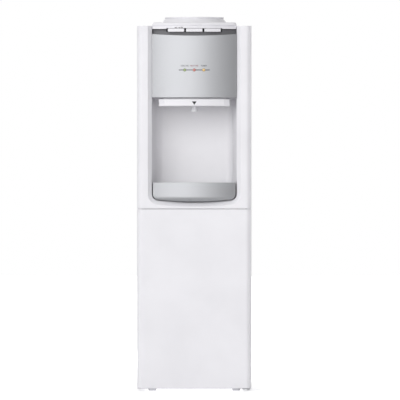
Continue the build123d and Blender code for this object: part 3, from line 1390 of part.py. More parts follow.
# Hoses: cold and warm to their taps, hot round the side, the feed and the drain
with BuildPart() as water_hoses:
    for x, z in ((KEY_PITCH, COLD_STUB_Z), (0, WARM_STUB_Z)):
        tube([(x, STUB_END, z), (x, HOSE_Y, z), (x, HOSE_Y, HOSE_TOP)], HOSE_BEND, HOSE_RADIUS, HOSE_BORE)
    tube(
        [
            (0, HOT_OUTLET_Y, HOT_STUB_Z),
            (0, HOT_OUTLET_Y, HOT_HOSE_Z),
            (HOT_LANE_X, HOT_OUTLET_Y, HOT_HOSE_Z),
            (HOT_LANE_X, HOSE_Y, HOT_HOSE_Z),
            (HOT_LANE_X, HOSE_Y, HOSE_TOP - HOT_HOSE_DROP),
            (-KEY_PITCH, HOSE_Y, HOSE_TOP - HOT_HOSE_DROP),
            (-KEY_PITCH, HOSE_Y, HOSE_TOP),
        ],
        HOSE_BEND,
        HOSE_RADIUS,
        HOSE_BORE,
    )
    tube(
        [
            (HOT_INLET_X, HOT_Y, HOT_INLET_Z),
            (FEED_LANE_X, HOT_Y, HOT_INLET_Z),
            (FEED_LANE_X, HOT_Y, FEED_Z),
            (FEED_STUB_X, FEED_Y, FEED_Z),
            (FEED_STUB_X, FEED_Y, FEED_TOP),
        ],
        HOSE_BEND,
        HOSE_RADIUS,
        HOSE_BORE,
    )
    tube(
        [
            (0, HOT_Y, HOT_FOAM_BOTTOM - STUB_LENGTH),
            (0, HOT_Y, HOT_FOAM_BOTTOM - STUB_LENGTH - DRAIN_DROP),
            (0, LANE_Y, HOT_FOAM_BOTTOM - STUB_LENGTH - DRAIN_DROP),
            (0, LANE_Y, DRAIN_Z + STUB_LENGTH),
        ],
        HOSE_BEND,
        HOSE_RADIUS,
        HOSE_BORE,
    )
keep(water_hoses, "water_hoses")

# Drain elbow through the back panel, and its cap
with BuildPart() as drain_outlet:
    nose_end = BACK + DRAIN_FLANGE + DRAIN_NOSE_LENGTH
    rod((0, LANE_Y, DRAIN_Z + STUB_LENGTH), (0, LANE_Y, DRAIN_Z), HOSE_RADIUS)
    rod((0, LANE_Y - HOSE_RADIUS, DRAIN_Z), (0, nose_end, DRAIN_Z), DRAIN_NOSE_RADIUS)
    rod((0, BACK, DRAIN_Z), (0, BACK + DRAIN_FLANGE, DRAIN_Z), DRAIN_FLANGE_RADIUS)
    rod((0, LANE_Y, DRAIN_Z), (0, nose_end, DRAIN_Z), STUB_RADIUS, mode=Mode.SUBTRACT)
keep(drain_outlet, "drain_outlet")

with BuildPart() as drain_cap:
    cap_inner = DRAIN_NOSE_RADIUS + RUNNING
    cap_front = BACK + DRAIN_FLANGE + FIT
    with BuildSketch(Plane.XZ.offset(-cap_front)):
        with Locations((0, DRAIN_Z)):
            RegularPolygon(cap_inner + DRAIN_CAP_WALL, DRAIN_CAP_SIDES)
    extrude(amount=-(DRAIN_NOSE_LENGTH + DRAIN_CAP_WALL))
    rod((0, cap_front, DRAIN_Z), (0, nose_end + FIT, DRAIN_Z), cap_inner, mode=Mode.SUBTRACT)
keep(drain_cap, "drain_cap")

# Storage cabinet: one stepped moulding with ledges, and a wire shelf on them
with BuildPart() as cabinet_liner:
    cabinet_slab(WALL, CABINET_FRONT)
    block(
        -CABINET_HALF - CABINET_FLANGE,
        CABINET_HALF + CABINET_FLANGE,
        CABINET_FRONT,
        CABINET_FRONT + WALL,
        FOOT_HEIGHT + BASE_RIM + FIT,
        FRAME_BOTTOM - FIT,
    )
    cabinet_slab(0, CABINET_FRONT, mode=Mode.SUBTRACT)
    for side in (-1, 1):
        wall = side * CABINET_HALF
        edge = side * (CABINET_HALF - SHELF_LEDGE)
        block(
            min(wall, edge),
            max(wall, edge),
            CABINET_FRONT + SHELF_CORNER,
            CABINET_BACK,
            SHELF_Z - SHELF_LEDGE_HEIGHT,
            SHELF_Z,
        )
keep(cabinet_liner, "cabinet_liner")

with BuildPart() as wire_shelf:
    shelf_half = CABINET_HALF - SHELF_FRAME_WIRE - ROOM
    shelf_front = CABINET_FRONT + SHELF_FRAME_WIRE + ROOM
    shelf_back = CABINET_BACK - SHELF_FRAME_WIRE - ROOM
    frame_z = SHELF_Z + SHELF_FRAME_WIRE
    wire_z = frame_z + SHELF_FRAME_WIRE
    with BuildLine() as shelf_frame:
        FilletPolyline(
            (shelf_half, shelf_front, frame_z),
            (shelf_half, shelf_back, frame_z),
            (-shelf_half, shelf_back, frame_z),
            (-shelf_half, shelf_front, frame_z),
            radius=SHELF_CORNER,
            close=True,
        )
    with BuildSketch(Plane(origin=shelf_frame.line @ 0, z_dir=shelf_frame.line % 0)) as frame_wire:
        Circle(SHELF_FRAME_WIRE)
    sweep(frame_wire.sketch, path=shelf_frame.line)
    span = shelf_half - SHELF_CORNER
    for place in range(SHELF_WIRES):
        x = -span + 2 * span * place / (SHELF_WIRES - 1)
        rod((x, shelf_front, wire_z), (x, shelf_back, wire_z), SHELF_WIRE)
keep(wire_shelf, "wire_shelf")

# Door: shell with a finger rebate down its free edge, inner panel and fittings
with BuildPart() as door_shell:
    with BuildSketch(Plane.XY.offset(DOOR_BOTTOM)) as door_plan:
        with Locations((0, (FRONT + DOOR_BACK) / 2)):
            Rectangle(BODY_WIDTH, DOOR_THICKNESS)
        fillet(door_plan.vertices().group_by(Axis.Y)[0], radius=EDGE_ROUND)
        fillet(door_plan.vertices().group_by(Axis.Y)[-1].sort_by(Axis.X)[-1], radius=EDGE_ROUND - FIT)
    extrude(amount=DOOR_HEIGHT)
    fillet(
        door_shell.edges().group_by(Axis.Z)[-1] + door_shell.edges().group_by(Axis.Z)[0],
        radius=DOOR_EDGE_ROUND,
    )
    block(
        -BODY_WIDTH / 2,
        -BODY_WIDTH / 2 + GRIP_REACH,
        DOOR_BACK - GRIP_DEPTH,
        DOOR_BACK,
        DOOR_BOTTOM,
        DOOR_TOP,
        mode=Mode.SUBTRACT,
    )
    cavity_half = BODY_WIDTH / 2 - DOOR_END
    block(
        -cavity_half,
        cavity_half,
        FRONT + WALL,
        DOOR_BACK,
        DOOR_BOTTOM + DOOR_EDGE_ROUND + WALL,
        DOOR_TOP - DOOR_EDGE_ROUND - WALL,
        mode=Mode.SUBTRACT,
    )
    for start, end in BUSH_SPANS:
        rod((PIVOT_X, PIVOT_Y, start), (PIVOT_X, PIVOT_Y, end), BUSH_RADIUS + RUNNING, mode=Mode.SUBTRACT)
    block(
        CATCH_X - CATCH_WIDTH / 2,
        CATCH_X + CATCH_WIDTH / 2,
        DOOR_BACK - STRIKE_THICKNESS,
        DOOR_BACK,
        CATCH_TOP - CATCH_HEIGHT,
        CATCH_TOP,
        mode=Mode.SUBTRACT,
    )
keep(door_shell, "door_shell")

with BuildPart() as door_inner_panel:
    panel_low = DOOR_BOTTOM + DOOR_EDGE_ROUND + WALL + FIT
    panel_high = DOOR_TOP - DOOR_EDGE_ROUND - WALL - FIT
    panel_half = cavity_half - FIT
    block(-panel_half, panel_half, DOOR_BACK - WALL, DOOR_BACK, panel_low, panel_high)
    with BuildSketch(Plane.XZ.offset(-DOOR_BACK)):
        with Locations((0, (panel_low + panel_high) / 2)):
            RectangleRounded(
                2 * (panel_half - DOOR_FIELD_MARGIN),
                panel_high - panel_low - 2 * DOOR_FIELD_MARGIN,
                DOOR_FIELD_MARGIN / 2,
            )
    extrude(amount=DOOR_FIELD_DEPTH, mode=Mode.SUBTRACT)
keep(door_inner_panel, "door_inner_panel")

with BuildPart() as door_fittings:
    for start, end in BUSH_SPANS:
        rod((PIVOT_X, PIVOT_Y, start), (PIVOT_X, PIVOT_Y, end), BUSH_RADIUS)
        rod((PIVOT_X, PIVOT_Y, start), (PIVOT_X, PIVOT_Y, end), PIN_RADIUS + RUNNING, mode=Mode.SUBTRACT)
    block(
        CATCH_X - CATCH_WIDTH / 2 + FIT,
        CATCH_X + CATCH_WIDTH / 2 - FIT,
        DOOR_BACK - STRIKE_THICKNESS,
        DOOR_BACK,
        CATCH_TOP - CATCH_HEIGHT + FIT,
        CATCH_TOP - FIT,
    )
keep(door_fittings, "door_fittings")

with BuildPart() as magnet_catch:
    block(
        CATCH_X - CATCH_WIDTH / 2,
        CATCH_X + CATCH_WIDTH / 2,
        DOOR_BACK + FIT,
        CABINET_FRONT,
        CATCH_TOP - CATCH_HEIGHT,
        CATCH_TOP,
    )
keep(magnet_catch, "magnet_catch")

# Hinge plates with their pins: one let into the frame with a leg behind it, one under the base
with BuildPart() as door_hinges:
    plate_top = FRAME_BOTTOM + HINGE_PLATE
    hinge_plate(FRAME_BOTTOM, plate_top, RIM_Y, 0)
    block(
        PIVOT_X - HINGE_PLATE_HALF,
        PIVOT_X + HINGE_PLATE_HALF,
        RIM_Y - HINGE_PLATE,
        RIM_Y,
        FRAME_BOTTOM,
        FRAME_BOTTOM + HINGE_LEG,
    )
    rod((PIVOT_X, PIVOT_Y, plate_top), (PIVOT_X, PIVOT_Y, DOOR_TOP - PIN_LENGTH), PIN_RADIUS)
    hinge_plate(FOOT_HEIGHT - HINGE_PLATE, FOOT_HEIGHT, RIM_Y + HINGE_PLATE_TAIL, 0)
    rod((PIVOT_X, PIVOT_Y, FOOT_HEIGHT), (PIVOT_X, PIVOT_Y, DOOR_BOTTOM + PIN_LENGTH), PIN_RADIUS)
keep(door_hinges, "door_hinges")

# Compressor on its rubber mounts, with the starter box
with BuildPart() as compressor:
    seam = COMPRESSOR_BOTTOM + COMPRESSOR_SEAM_RISE
    turned(
        [
            (0, COMPRESSOR_BOTTOM),
            (COMPRESSOR_RADIUS - COMPRESSOR_CHAMFER, COMPRESSOR_BOTTOM),
            (COMPRESSOR_RADIUS, COMPRESSOR_BOTTOM + COMPRESSOR_CHAMFER),
            (COMPRESSOR_RADIUS, seam),
            (COMPRESSOR_RADIUS + COMPRESSOR_SEAM, seam),
            (COMPRESSOR_RADIUS + COMPRESSOR_SEAM, seam + COMPRESSOR_SEAM),
            (COMPRESSOR_RADIUS, seam + COMPRESSOR_SEAM),
            (COMPRESSOR_RADIUS, COMPRESSOR_TOP - COMPRESSOR_DOME),
            (COMPRESSOR_RADIUS - COMPRESSOR_CHAMFER, COMPRESSOR_TOP - COMPRESSOR_DOME / 2),
            (COMPRESSOR_RADIUS - COMPRESSOR_DOME, COMPRESSOR_TOP),
            (0, COMPRESSOR_TOP),
        ],
        (COMPRESSOR_X, COMPRESSOR_Y, 0),
    )
    block(
        COMPRESSOR_X - MOUNT_SPREAD_X / 2 - MOUNT_RADIUS,
        COMPRESSOR_X + MOUNT_SPREAD_X / 2 + MOUNT_RADIUS,
        COMPRESSOR_Y - MOUNT_SPREAD_Y / 2 - MOUNT_RADIUS,
        COMPRESSOR_Y + MOUNT_SPREAD_Y / 2 + MOUNT_RADIUS,
        COMPRESSOR_BOTTOM - MOUNT_PLATE,
        COMPRESSOR_BOTTOM,
    )
    for z, radius in ((DISCHARGE_Z, DISCHARGE_RADIUS), (SUCTION_Z, SUCTION_RADIUS)):
        rod((COMPRESSOR_X, COMPRESSOR_Y, z), (STUB_FACE_X, COMPRESSOR_Y, z), radius + ROOM)
keep(compressor, "compressor")

with BuildPart() as compressor_mounts:
    for x in (COMPRESSOR_X - MOUNT_SPREAD_X / 2, COMPRESSOR_X + MOUNT_SPREAD_X / 2):
        for y in (COMPRESSOR_Y - MOUNT_SPREAD_Y / 2, COMPRESSOR_Y + MOUNT_SPREAD_Y / 2):
            rod((x, y, FOOT_HEIGHT + SHEET), (x, y, FOOT_HEIGHT + SHEET + MOUNT_HEIGHT), MOUNT_RADIUS)
keep(compressor_mounts, "compressor_mounts")

with BuildPart() as starter_box:
    box_bottom = seam + 2 * COMPRESSOR_SEAM
    block(
        COMPRESSOR_X - COMPRESSOR_RADIUS - STARTER_REACH,
        COMPRESSOR_X - COMPRESSOR_RADIUS + STARTER_WRAP,
        COMPRESSOR_Y - STARTER_WIDTH / 2,
        COMPRESSOR_Y + STARTER_WIDTH / 2,
        box_bottom,
        COMPRESSOR_TOP - COMPRESSOR_DOME,
    )
    rod(
        (COMPRESSOR_X, COMPRESSOR_Y, box_bottom),
        (COMPRESSOR_X, COMPRESSOR_Y, COMPRESSOR_TOP),
        COMPRESSOR_RADIUS + FIT,
        mode=Mode.SUBTRACT,
    )
keep(starter_box, "starter_box")

# Refrigerant lines: discharge, liquid line with the drier, capillary and suction
with BuildPart() as refrigerant_lines:
    tube(
        [
            (STUB_FACE_X, COMPRESSOR_Y, DISCHARGE_Z),
            (DISCHARGE_X, COMPRESSOR_Y, DISCHARGE_Z),
            (DISCHARGE_X, CONDENSER_Y, DISCHARGE_Z),
            (RISER_X, CONDENSER_Y, DISCHARGE_Z),
            (RISER_X, CONDENSER_Y, TAIL_BOTTOM),
        ],
        LINE_BEND,
        DISCHARGE_RADIUS,
    )
    tube(
        [
            (STUB_FACE_X, COMPRESSOR_Y, SUCTION_Z),
            (SUCTION_X, COMPRESSOR_Y, SUCTION_Z),
            (SUCTION_X, LANE_Y, SUCTION_Z),
            (SUCTION_X, LANE_Y, JACKET_STUB_Z),
            (JACKET_STUB_X, LANE_Y, JACKET_STUB_Z),
            (JACKET_STUB_X, FOAM_BACK + ROOM, JACKET_STUB_Z),
        ],
        SUCTION_BEND,
        SUCTION_RADIUS,
    )
    tube(
        [
            (CONDENSER_HALF, CONDENSER_Y, TAIL_BOTTOM),
            (CONDENSER_HALF, CONDENSER_Y, LIQUID_Z),
            (CONDENSER_HALF, DRIER_Y, LIQUID_Z),
            (CONDENSER_HALF, DRIER_Y, DRIER_TOP),
        ],
        LINE_BEND,
        DISCHARGE_RADIUS,
    )
    turned(
        [
            (0, DRIER_TOP),
            (DISCHARGE_RADIUS, DRIER_TOP),
            (DRIER_RADIUS, DRIER_TOP - DRIER_RADIUS),
            (DRIER_RADIUS, DRIER_BOTTOM + DRIER_RADIUS),
            (CAPILLARY_RADIUS, DRIER_BOTTOM),
            (0, DRIER_BOTTOM),
        ],
        (CONDENSER_HALF, DRIER_Y, 0),
    )
    tube(
        [
            (CONDENSER_HALF, DRIER_Y, DRIER_BOTTOM),
            (CONDENSER_HALF, DRIER_Y, DRIER_BOTTOM - LINE_BEND),
            (CAPILLARY_X, DRIER_Y, DRIER_BOTTOM - LINE_BEND),
            (CAPILLARY_X, CAPILLARY_Y, DRIER_BOTTOM - LINE_BEND),
            (CAPILLARY_X, CAPILLARY_Y, JACKET_STUB_Z),
            (CAPILLARY_STUB_X, CAPILLARY_Y, JACKET_STUB_Z),
            (CAPILLARY_STUB_X, FOAM_BACK + ROOM, JACKET_STUB_Z),
        ],
        CAPILLARY_BEND,
        CAPILLARY_RADIUS,
    )
keep(refrigerant_lines, "refrigerant_lines")

# Condenser: one tube in level passes, with upright wires on both sides
with BuildPart() as condenser_tube:
    turn = CONDENSER_HALF + PASS_BEND
    corners = [(RISER_X, CONDENSER_Y, TAIL_BOTTOM), (RISER_X, CONDENSER_Y, PASS_TOP)]
    for level in range(PASS_COUNT - 1):
        edge = -turn if level % 2 == 0 else turn
        corners.append((edge, CONDENSER_Y, PASS_TOP - level * PASS_PITCH))
        corners.append((edge, CONDENSER_Y, PASS_TOP - (level + 1) * PASS_PITCH))
    corners.append((CONDENSER_HALF, CONDENSER_Y, PASS_BOTTOM))
    corners.append((CONDENSER_HALF, CONDENSER_Y, TAIL_BOTTOM))
    bends = [LINE_BEND] + [PASS_BEND] * (2 * PASS_COUNT - 2) + [LINE_BEND]
    tube(corners, bends, CONDENSER_TUBE)
keep(condenser_tube, "condenser_tube")

with BuildPart() as condenser_wires:
    row_gap = 2 * (CONDENSER_TUBE + WIRE_GAP) + WIRE_SIZE
    with BuildSketch(Plane.XY.offset(PASS_BOTTOM - WIRE_OVERRUN)):
        with Locations((0, CONDENSER_Y)):
            with GridLocations(WIRE_PITCH, row_gap, WIRE_COUNT, 2):
                Rectangle(WIRE_SIZE, WIRE_SIZE)
    extrude(amount=PASS_TOP - PASS_BOTTOM + 2 * WIRE_OVERRUN)
keep(condenser_wires, "condenser_wires")

# Rear switches: housings let into the back panel and a rocker in each
with BuildPart() as switch_housings:
    for x in SWITCH_PLACES:
        body = SWITCH_WIDTH / 2 - SWITCH_LIP - FIT
        drop = SWITCH_HEIGHT / 2 - SWITCH_LIP - FIT
        block(x - body, x + body, BACK - SWITCH_BODY_DEPTH, BACK, SWITCH_Z - drop, SWITCH_Z + drop)
        block(
            x - SWITCH_WIDTH / 2,
            x + SWITCH_WIDTH / 2,
            BACK,
            BACK + SWITCH_FLANGE,
            SWITCH_Z - SWITCH_HEIGHT / 2,
            SWITCH_Z + SWITCH_HEIGHT / 2,
        )
        for reach, radius in (
            (ROCKER_WIDTH / 2 + FIT, ROCKER_RADIUS + FIT),
            (ROCKER_WIDTH / 2 + TRUNNION_LENGTH + FIT, TRUNNION_RADIUS + RUNNING),
        ):
            rod((x - reach, ROCKER_Y, SWITCH_Z), (x + reach, ROCKER_Y, SWITCH_Z), radius, mode=Mode.SUBTRACT)
keep(switch_housings, "switch_housings")

for rocker_name, x in zip(SWITCH_NAMES, SWITCH_PLACES):
    with BuildPart() as rocker:
        lean = math.radians(-ROCKER_TILT)
        rise = ROCKER_RADIUS * math.tan(math.radians(ROCKER_TILT))
        upright = Plane(
            origin=(x - ROCKER_WIDTH / 2, ROCKER_Y, SWITCH_Z),
            x_dir=(0, math.cos(lean), math.sin(lean)),
            z_dir=(1, 0, 0),
        )
        with BuildSketch(upright):
            Circle(ROCKER_RADIUS)
            with BuildLine():
                Polyline(
                    (ROCKER_FACE, 0),
                    (ROCKER_FACE + rise, ROCKER_RADIUS),
                    (2 * ROCKER_RADIUS, ROCKER_RADIUS),
                    (2 * ROCKER_RADIUS, -ROCKER_RADIUS),
                    (ROCKER_FACE + rise, -ROCKER_RADIUS),
                    close=True,
                )
            make_face(mode=Mode.SUBTRACT)
        extrude(amount=ROCKER_WIDTH)
        grip = ROCKER_WIDTH / 2 + TRUNNION_LENGTH
        rod((x - grip, ROCKER_Y, SWITCH_Z), (x + grip, ROCKER_Y, SWITCH_Z), TRUNNION_RADIUS)
    keep(rocker, rocker_name)

# Gland where the mains cord would leave
with BuildPart() as cord_gland:
    turned(
        [
            (CORD_HOLE, -CORD_GLAND_REACH - SHEET),
            (CORD_GLAND_RADIUS, -CORD_GLAND_REACH - SHEET),
            (CORD_GLAND_RADIUS, 0),
            (CORD_GLAND_FLANGE, 0),
            (CORD_GLAND_FLANGE, CORD_GLAND_REACH / 2),
            (CORD_GLAND_RADIUS, CORD_GLAND_REACH),
            (CORD_HOLE, CORD_GLAND_REACH),
        ],
        (GLAND_X, BACK, GLAND_Z),
        along=(0, 1, 0),
    )
keep(cord_gland, "cord_gland")
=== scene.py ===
import bpy
import json
import math
import numpy as np
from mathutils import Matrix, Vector


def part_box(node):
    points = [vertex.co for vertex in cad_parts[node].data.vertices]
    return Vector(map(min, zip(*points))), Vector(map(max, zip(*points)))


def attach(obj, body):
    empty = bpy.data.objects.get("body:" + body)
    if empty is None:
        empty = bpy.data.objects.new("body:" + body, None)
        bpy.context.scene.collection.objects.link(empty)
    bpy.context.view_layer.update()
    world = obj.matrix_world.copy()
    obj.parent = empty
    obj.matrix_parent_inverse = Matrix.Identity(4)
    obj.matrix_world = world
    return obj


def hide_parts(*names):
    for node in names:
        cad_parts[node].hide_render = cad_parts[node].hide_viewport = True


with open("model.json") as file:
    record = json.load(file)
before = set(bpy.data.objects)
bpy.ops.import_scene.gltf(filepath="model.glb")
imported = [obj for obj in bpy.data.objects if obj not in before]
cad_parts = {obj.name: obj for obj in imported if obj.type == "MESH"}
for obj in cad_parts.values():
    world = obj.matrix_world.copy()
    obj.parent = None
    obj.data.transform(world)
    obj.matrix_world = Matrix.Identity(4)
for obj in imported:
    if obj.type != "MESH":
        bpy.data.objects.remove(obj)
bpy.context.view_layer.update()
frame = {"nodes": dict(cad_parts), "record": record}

# Sizes that the loose pieces share with the solids, in metres
MM = 0.001
FRONT_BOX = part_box("front_panel")
BAR_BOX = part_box("nozzle_cover")
WIRES_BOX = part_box("condenser_wires")
CREST_Y = FRONT_BOX[0][1]
BOW_RADIUS = 311.568 * MM
BOW_CENTRE_Y = CREST_Y + BOW_RADIUS
BAR_INSET = 6.0 * MM
BROW_INSET = 7.0 * MM


# Surfaces


def bow_y(x, inset):
    """Depth of the bowed front at x: a circle about (0, BOW_CENTRE_Y), inset inside BOW_RADIUS."""
    return BOW_CENTRE_Y - np.sqrt((BOW_RADIUS - inset) ** 2 - x**2)


def make_piece(name, points, faces, material, smooth=True):
    """Mesh object at the origin from an array of points and an array or list of faces."""
    mesh = bpy.data.meshes.new(name)
    mesh.from_pydata(points.reshape(-1, 3).tolist(), [], [list(map(int, f)) for f in faces])
    mesh.update()
    if smooth:
        mesh.polygons.foreach_set("use_smooth", np.ones(len(mesh.polygons), dtype=bool))
    piece = bpy.data.objects.new(name, mesh)
    piece.data.materials.append(material)
    bpy.context.scene.collection.objects.link(piece)
    return piece


def polar_grid(rings, around):
    """Radius from 0.02 to 1 by rows, and angle over a full turn by columns."""
    radius = np.linspace(0.02, 1, rings)
    angle = np.linspace(0, 2 * np.pi, around, endpoint=False)
    return np.meshgrid(radius, angle, indexing="ij")


def grid_faces(rows, columns, wrap=False, flip=False):
    """Quads of a rows by columns grid, row by row; wrap joins the last column to the first."""
    count = columns if wrap else columns - 1
    r, c = np.meshgrid(np.arange(rows - 1), np.arange(count), indexing="ij")
    here, above = r * columns, (r + 1) * columns
    n = (c + 1) % columns
    quads = np.stack([here + c, here + n, above + n, above + c], axis=-1).reshape(-1, 4)
    return quads[:, ::-1] if flip else quads


def thin_shell(face, back):
    """Closed shell from two grids of one shape: the face, the back turned over, and the rims."""
    rows, columns = face.shape[:2]
    points = np.concatenate([face.reshape(-1, 3), back.reshape(-1, 3)])
    count = rows * columns
    index = np.arange(count).reshape(rows, columns)
    loop = np.concatenate([index[0, :-1], index[:-1, -1], index[-1, :0:-1], index[:0:-1, 0]])
    following = np.roll(loop, -1)
    rim = np.stack([following, loop, loop + count, following + count], axis=-1)
    turned = grid_faces(rows, columns, flip=True) + count
    return points, np.concatenate([grid_faces(rows, columns), turned, rim])


# Finishes


def srgb(red, green, blue):
    """Linear colour from display values of 0 to 255."""
    value = np.array([red, green, blue]) / 255
    linear = np.where(value > 0.04045, ((value + 0.055) / 1.055) ** 2.4, value / 12.92)
    return (*[float(v) for v in linear], 1.0)


def combine(tree, operation, *values):
    """Result of one maths node on sockets and plain numbers."""
    node = tree.nodes.new("ShaderNodeMath")
    node.operation = operation
    for socket, value in zip(node.inputs, values):
        if isinstance(value, bpy.types.NodeSocket):
            tree.links.new(value, socket)
        else:
            socket.default_value = value
    return node.outputs[0]


def map_range(tree, value, start, end, near, far):
    """Value that runs from near to far while the given socket runs from start to end."""
    node = tree.nodes.new("ShaderNodeMapRange")
    sockets = ("From Min", "From Max", "To Min", "To Max")
    for socket, number in zip(sockets, (start, end, near, far)):
        node.inputs[socket].default_value = number
    tree.links.new(value, node.inputs["Value"])
    return node.outputs["Result"]


class Finish:
    """One procedural material on Object coordinates, built up call by call."""

    def __init__(self, name, metallic=0.0, coat=0.0, coat_rough=0.1, specular=0.5):
        self.material = bpy.data.materials.new(name)
        self.material.use_nodes = True
        self.tree = self.material.node_tree
        self.shader = self.tree.nodes["Principled BSDF"]
        self.shader.inputs["Metallic"].default_value = metallic
        self.shader.inputs["Coat Weight"].default_value = coat
        self.shader.inputs["Coat Roughness"].default_value = coat_rough
        self.shader.inputs["Specular IOR Level"].default_value = specular
        self.place = self.tree.nodes.new("ShaderNodeTexCoord").outputs["Object"]
        self.height = None

    def noise(self, scale, detail=3.0, stretch=None):
        """Noise value with about scale features a metre; stretch scales the three axes first."""
        spot = self.place
        if stretch:
            mapping = self.tree.nodes.new("ShaderNodeMapping")
            mapping.inputs["Scale"].default_value = stretch
            self.tree.links.new(spot, mapping.inputs["Vector"])
            spot = mapping.outputs["Vector"]
        node = self.tree.nodes.new("ShaderNodeTexNoise")
        node.inputs["Scale"].default_value = scale
        node.inputs["Detail"].default_value = detail
        self.tree.links.new(spot, node.inputs["Vector"])
        return node.outputs["Fac"]

    def colour(self, factor, low, high, span=(0.35, 0.65)):
        """Base colour that runs from low to high while the factor runs over the span."""
        ramp = self.tree.nodes.new("ShaderNodeValToRGB")
        for element, place, tone in zip(ramp.color_ramp.elements, span, (low, high)):
            element.position = place
            element.color = tone
        self.tree.links.new(factor, ramp.inputs["Fac"])
        self.tree.links.new(ramp.outputs["Color"], self.shader.inputs["Base Color"])

    def rough(self, factor, low, high):
        """Roughness that runs from low to high over the middle of the factor."""
        level = map_range(self.tree, factor, 0.3, 0.7, low, high)
        self.tree.links.new(level, self.shader.inputs["Roughness"])

    def bump(self, factor, depth, strength):
        """Relief of the given depth in metres, over any relief already there."""
        node = self.tree.nodes.new("ShaderNodeBump")
        node.inputs["Distance"].default_value = depth
        node.inputs["Strength"].default_value = strength
        self.tree.links.new(factor, node.inputs["Height"])
        if self.height:
            self.tree.links.new(self.height, node.inputs["Normal"])
        self.height = node.outputs["Normal"]
        self.tree.links.new(self.height, self.shader.inputs["Normal"])

    def glow(self, tone, strength):
        """Faint light of the surface's own."""
        self.shader.inputs["Emission Color"].default_value = tone
        self.shader.inputs["Emission Strength"].default_value = strength


def moulded(name, low, high, rough=(0.3, 0.42), coat=0.15):
    """Moulded plastic: cloudy colour over decimetres, faint orange peel and a fine grain."""
    finish = Finish(name, coat=coat, coat_rough=0.2)
    clouds, sheen = finish.noise(7.0, detail=4.0), finish.noise(60.0)
    peel, grain = finish.noise(90.0, detail=2.0), finish.noise(1400.0, detail=2.0)
    finish.colour(clouds, low, high)
    finish.rough(sheen, *rough)
    finish.bump(peel, depth=0.05 * MM, strength=0.25)
    finish.bump(grain, depth=0.02 * MM, strength=0.35)
    return finish.material


def enamelled(name, low, high, rough=(0.34, 0.46)):
    """Powder coat on sheet steel: small even orange peel under a soft gloss."""
    finish = Finish(name, coat=0.1, coat_rough=0.25)
    clouds, sheen, peel = finish.noise(5.0, detail=4.0), finish.noise(40.0), finish.noise(520.0)
    finish.colour(clouds, low, high)
    finish.rough(sheen, *rough)
    finish.bump(peel, depth=0.05 * MM, strength=0.4)
    return finish.material


def metal(name, low, high, rough, stretch, scale):
    """Bare or plated metal: streaks along the least stretched axis, in colour, gloss and relief."""
    finish = Finish(name, metallic=1.0)
    streaks = finish.noise(scale, detail=4.0, stretch=stretch)
    finish.colour(streaks, low, high)
    finish.rough(streaks, *rough)
    finish.bump(streaks, depth=0.02 * MM, strength=0.4)
    return finish.material


def plated(name, low, high):
    """Zinc plate: soft upright streaks."""
    return metal(name, low, high, rough=(0.28, 0.42), stretch=(1, 1, 0.35), scale=180.0)


def spun(name, low, high):
    """Spun sheet: fine rings about the upright axis."""
    return metal(name, low, high, rough=(0.2, 0.34), stretch=(0.2, 0.2, 6), scale=160.0)


def drawn(name, low, high):
    """Drawn tube: upright draw marks."""
    return metal(name, low, high, rough=(0.25, 0.42), stretch=(1, 1, 0.3), scale=240.0)


def silver_paint(name, low, high):
    """Silver lacquer over plastic: fine flakes in a grey binder under a clear coat."""
    finish = Finish(name, metallic=0.8, coat=0.1, coat_rough=0.35)
    flakes, sheen = finish.noise(2600.0, detail=1.0), finish.noise(900.0)
    peel = finish.noise(140.0, detail=2.0)
    finish.colour(flakes, low, high, span=(0.3, 0.7))
    finish.rough(sheen, 0.44, 0.52)
    finish.bump(peel, depth=0.04 * MM, strength=0.25)
    return finish.material


def lens(name, low, high):
    """Tinted lamp lens: clear gloss over a cloudy glow."""
    finish = Finish(name, coat=0.6, coat_rough=0.06)
    clouds, sheen = finish.noise(260.0, detail=2.0), finish.noise(500.0)
    finish.glow(low, 0.05)
    finish.colour(clouds, low, high)
    finish.rough(sheen, 0.12, 0.22)
    return finish.material


def soft_rubber(name, low, high):
    """Matt rubber: dusty mottling and a pebbled skin."""
    finish = Finish(name, specular=0.3)
    dust, sheen = finish.noise(120.0, detail=5.0), finish.noise(200.0)
    pebbles = finish.noise(1600.0, detail=2.0)
    finish.colour(dust, low, high)
    finish.rough(sheen, 0.6, 0.82)
    finish.bump(pebbles, depth=0.06 * MM, strength=0.5)
    return finish.material


def beaded_foam(name, low, high):
    """Moulded bead foam: closed cells a few millimetres across, paler in the middle."""
    finish = Finish(name, specular=0.2)
    cells = finish.tree.nodes.new("ShaderNodeTexVoronoi")
    cells.inputs["Scale"].default_value = 260.0
    finish.tree.links.new(finish.place, cells.inputs["Vector"])
    finish.colour(cells.outputs["Distance"], high, low, span=(0.1, 0.7))
    finish.rough(finish.noise(300.0), 0.75, 0.9)
    finish.bump(cells.outputs["Distance"], depth=-0.4 * MM, strength=0.7)
    return finish.material


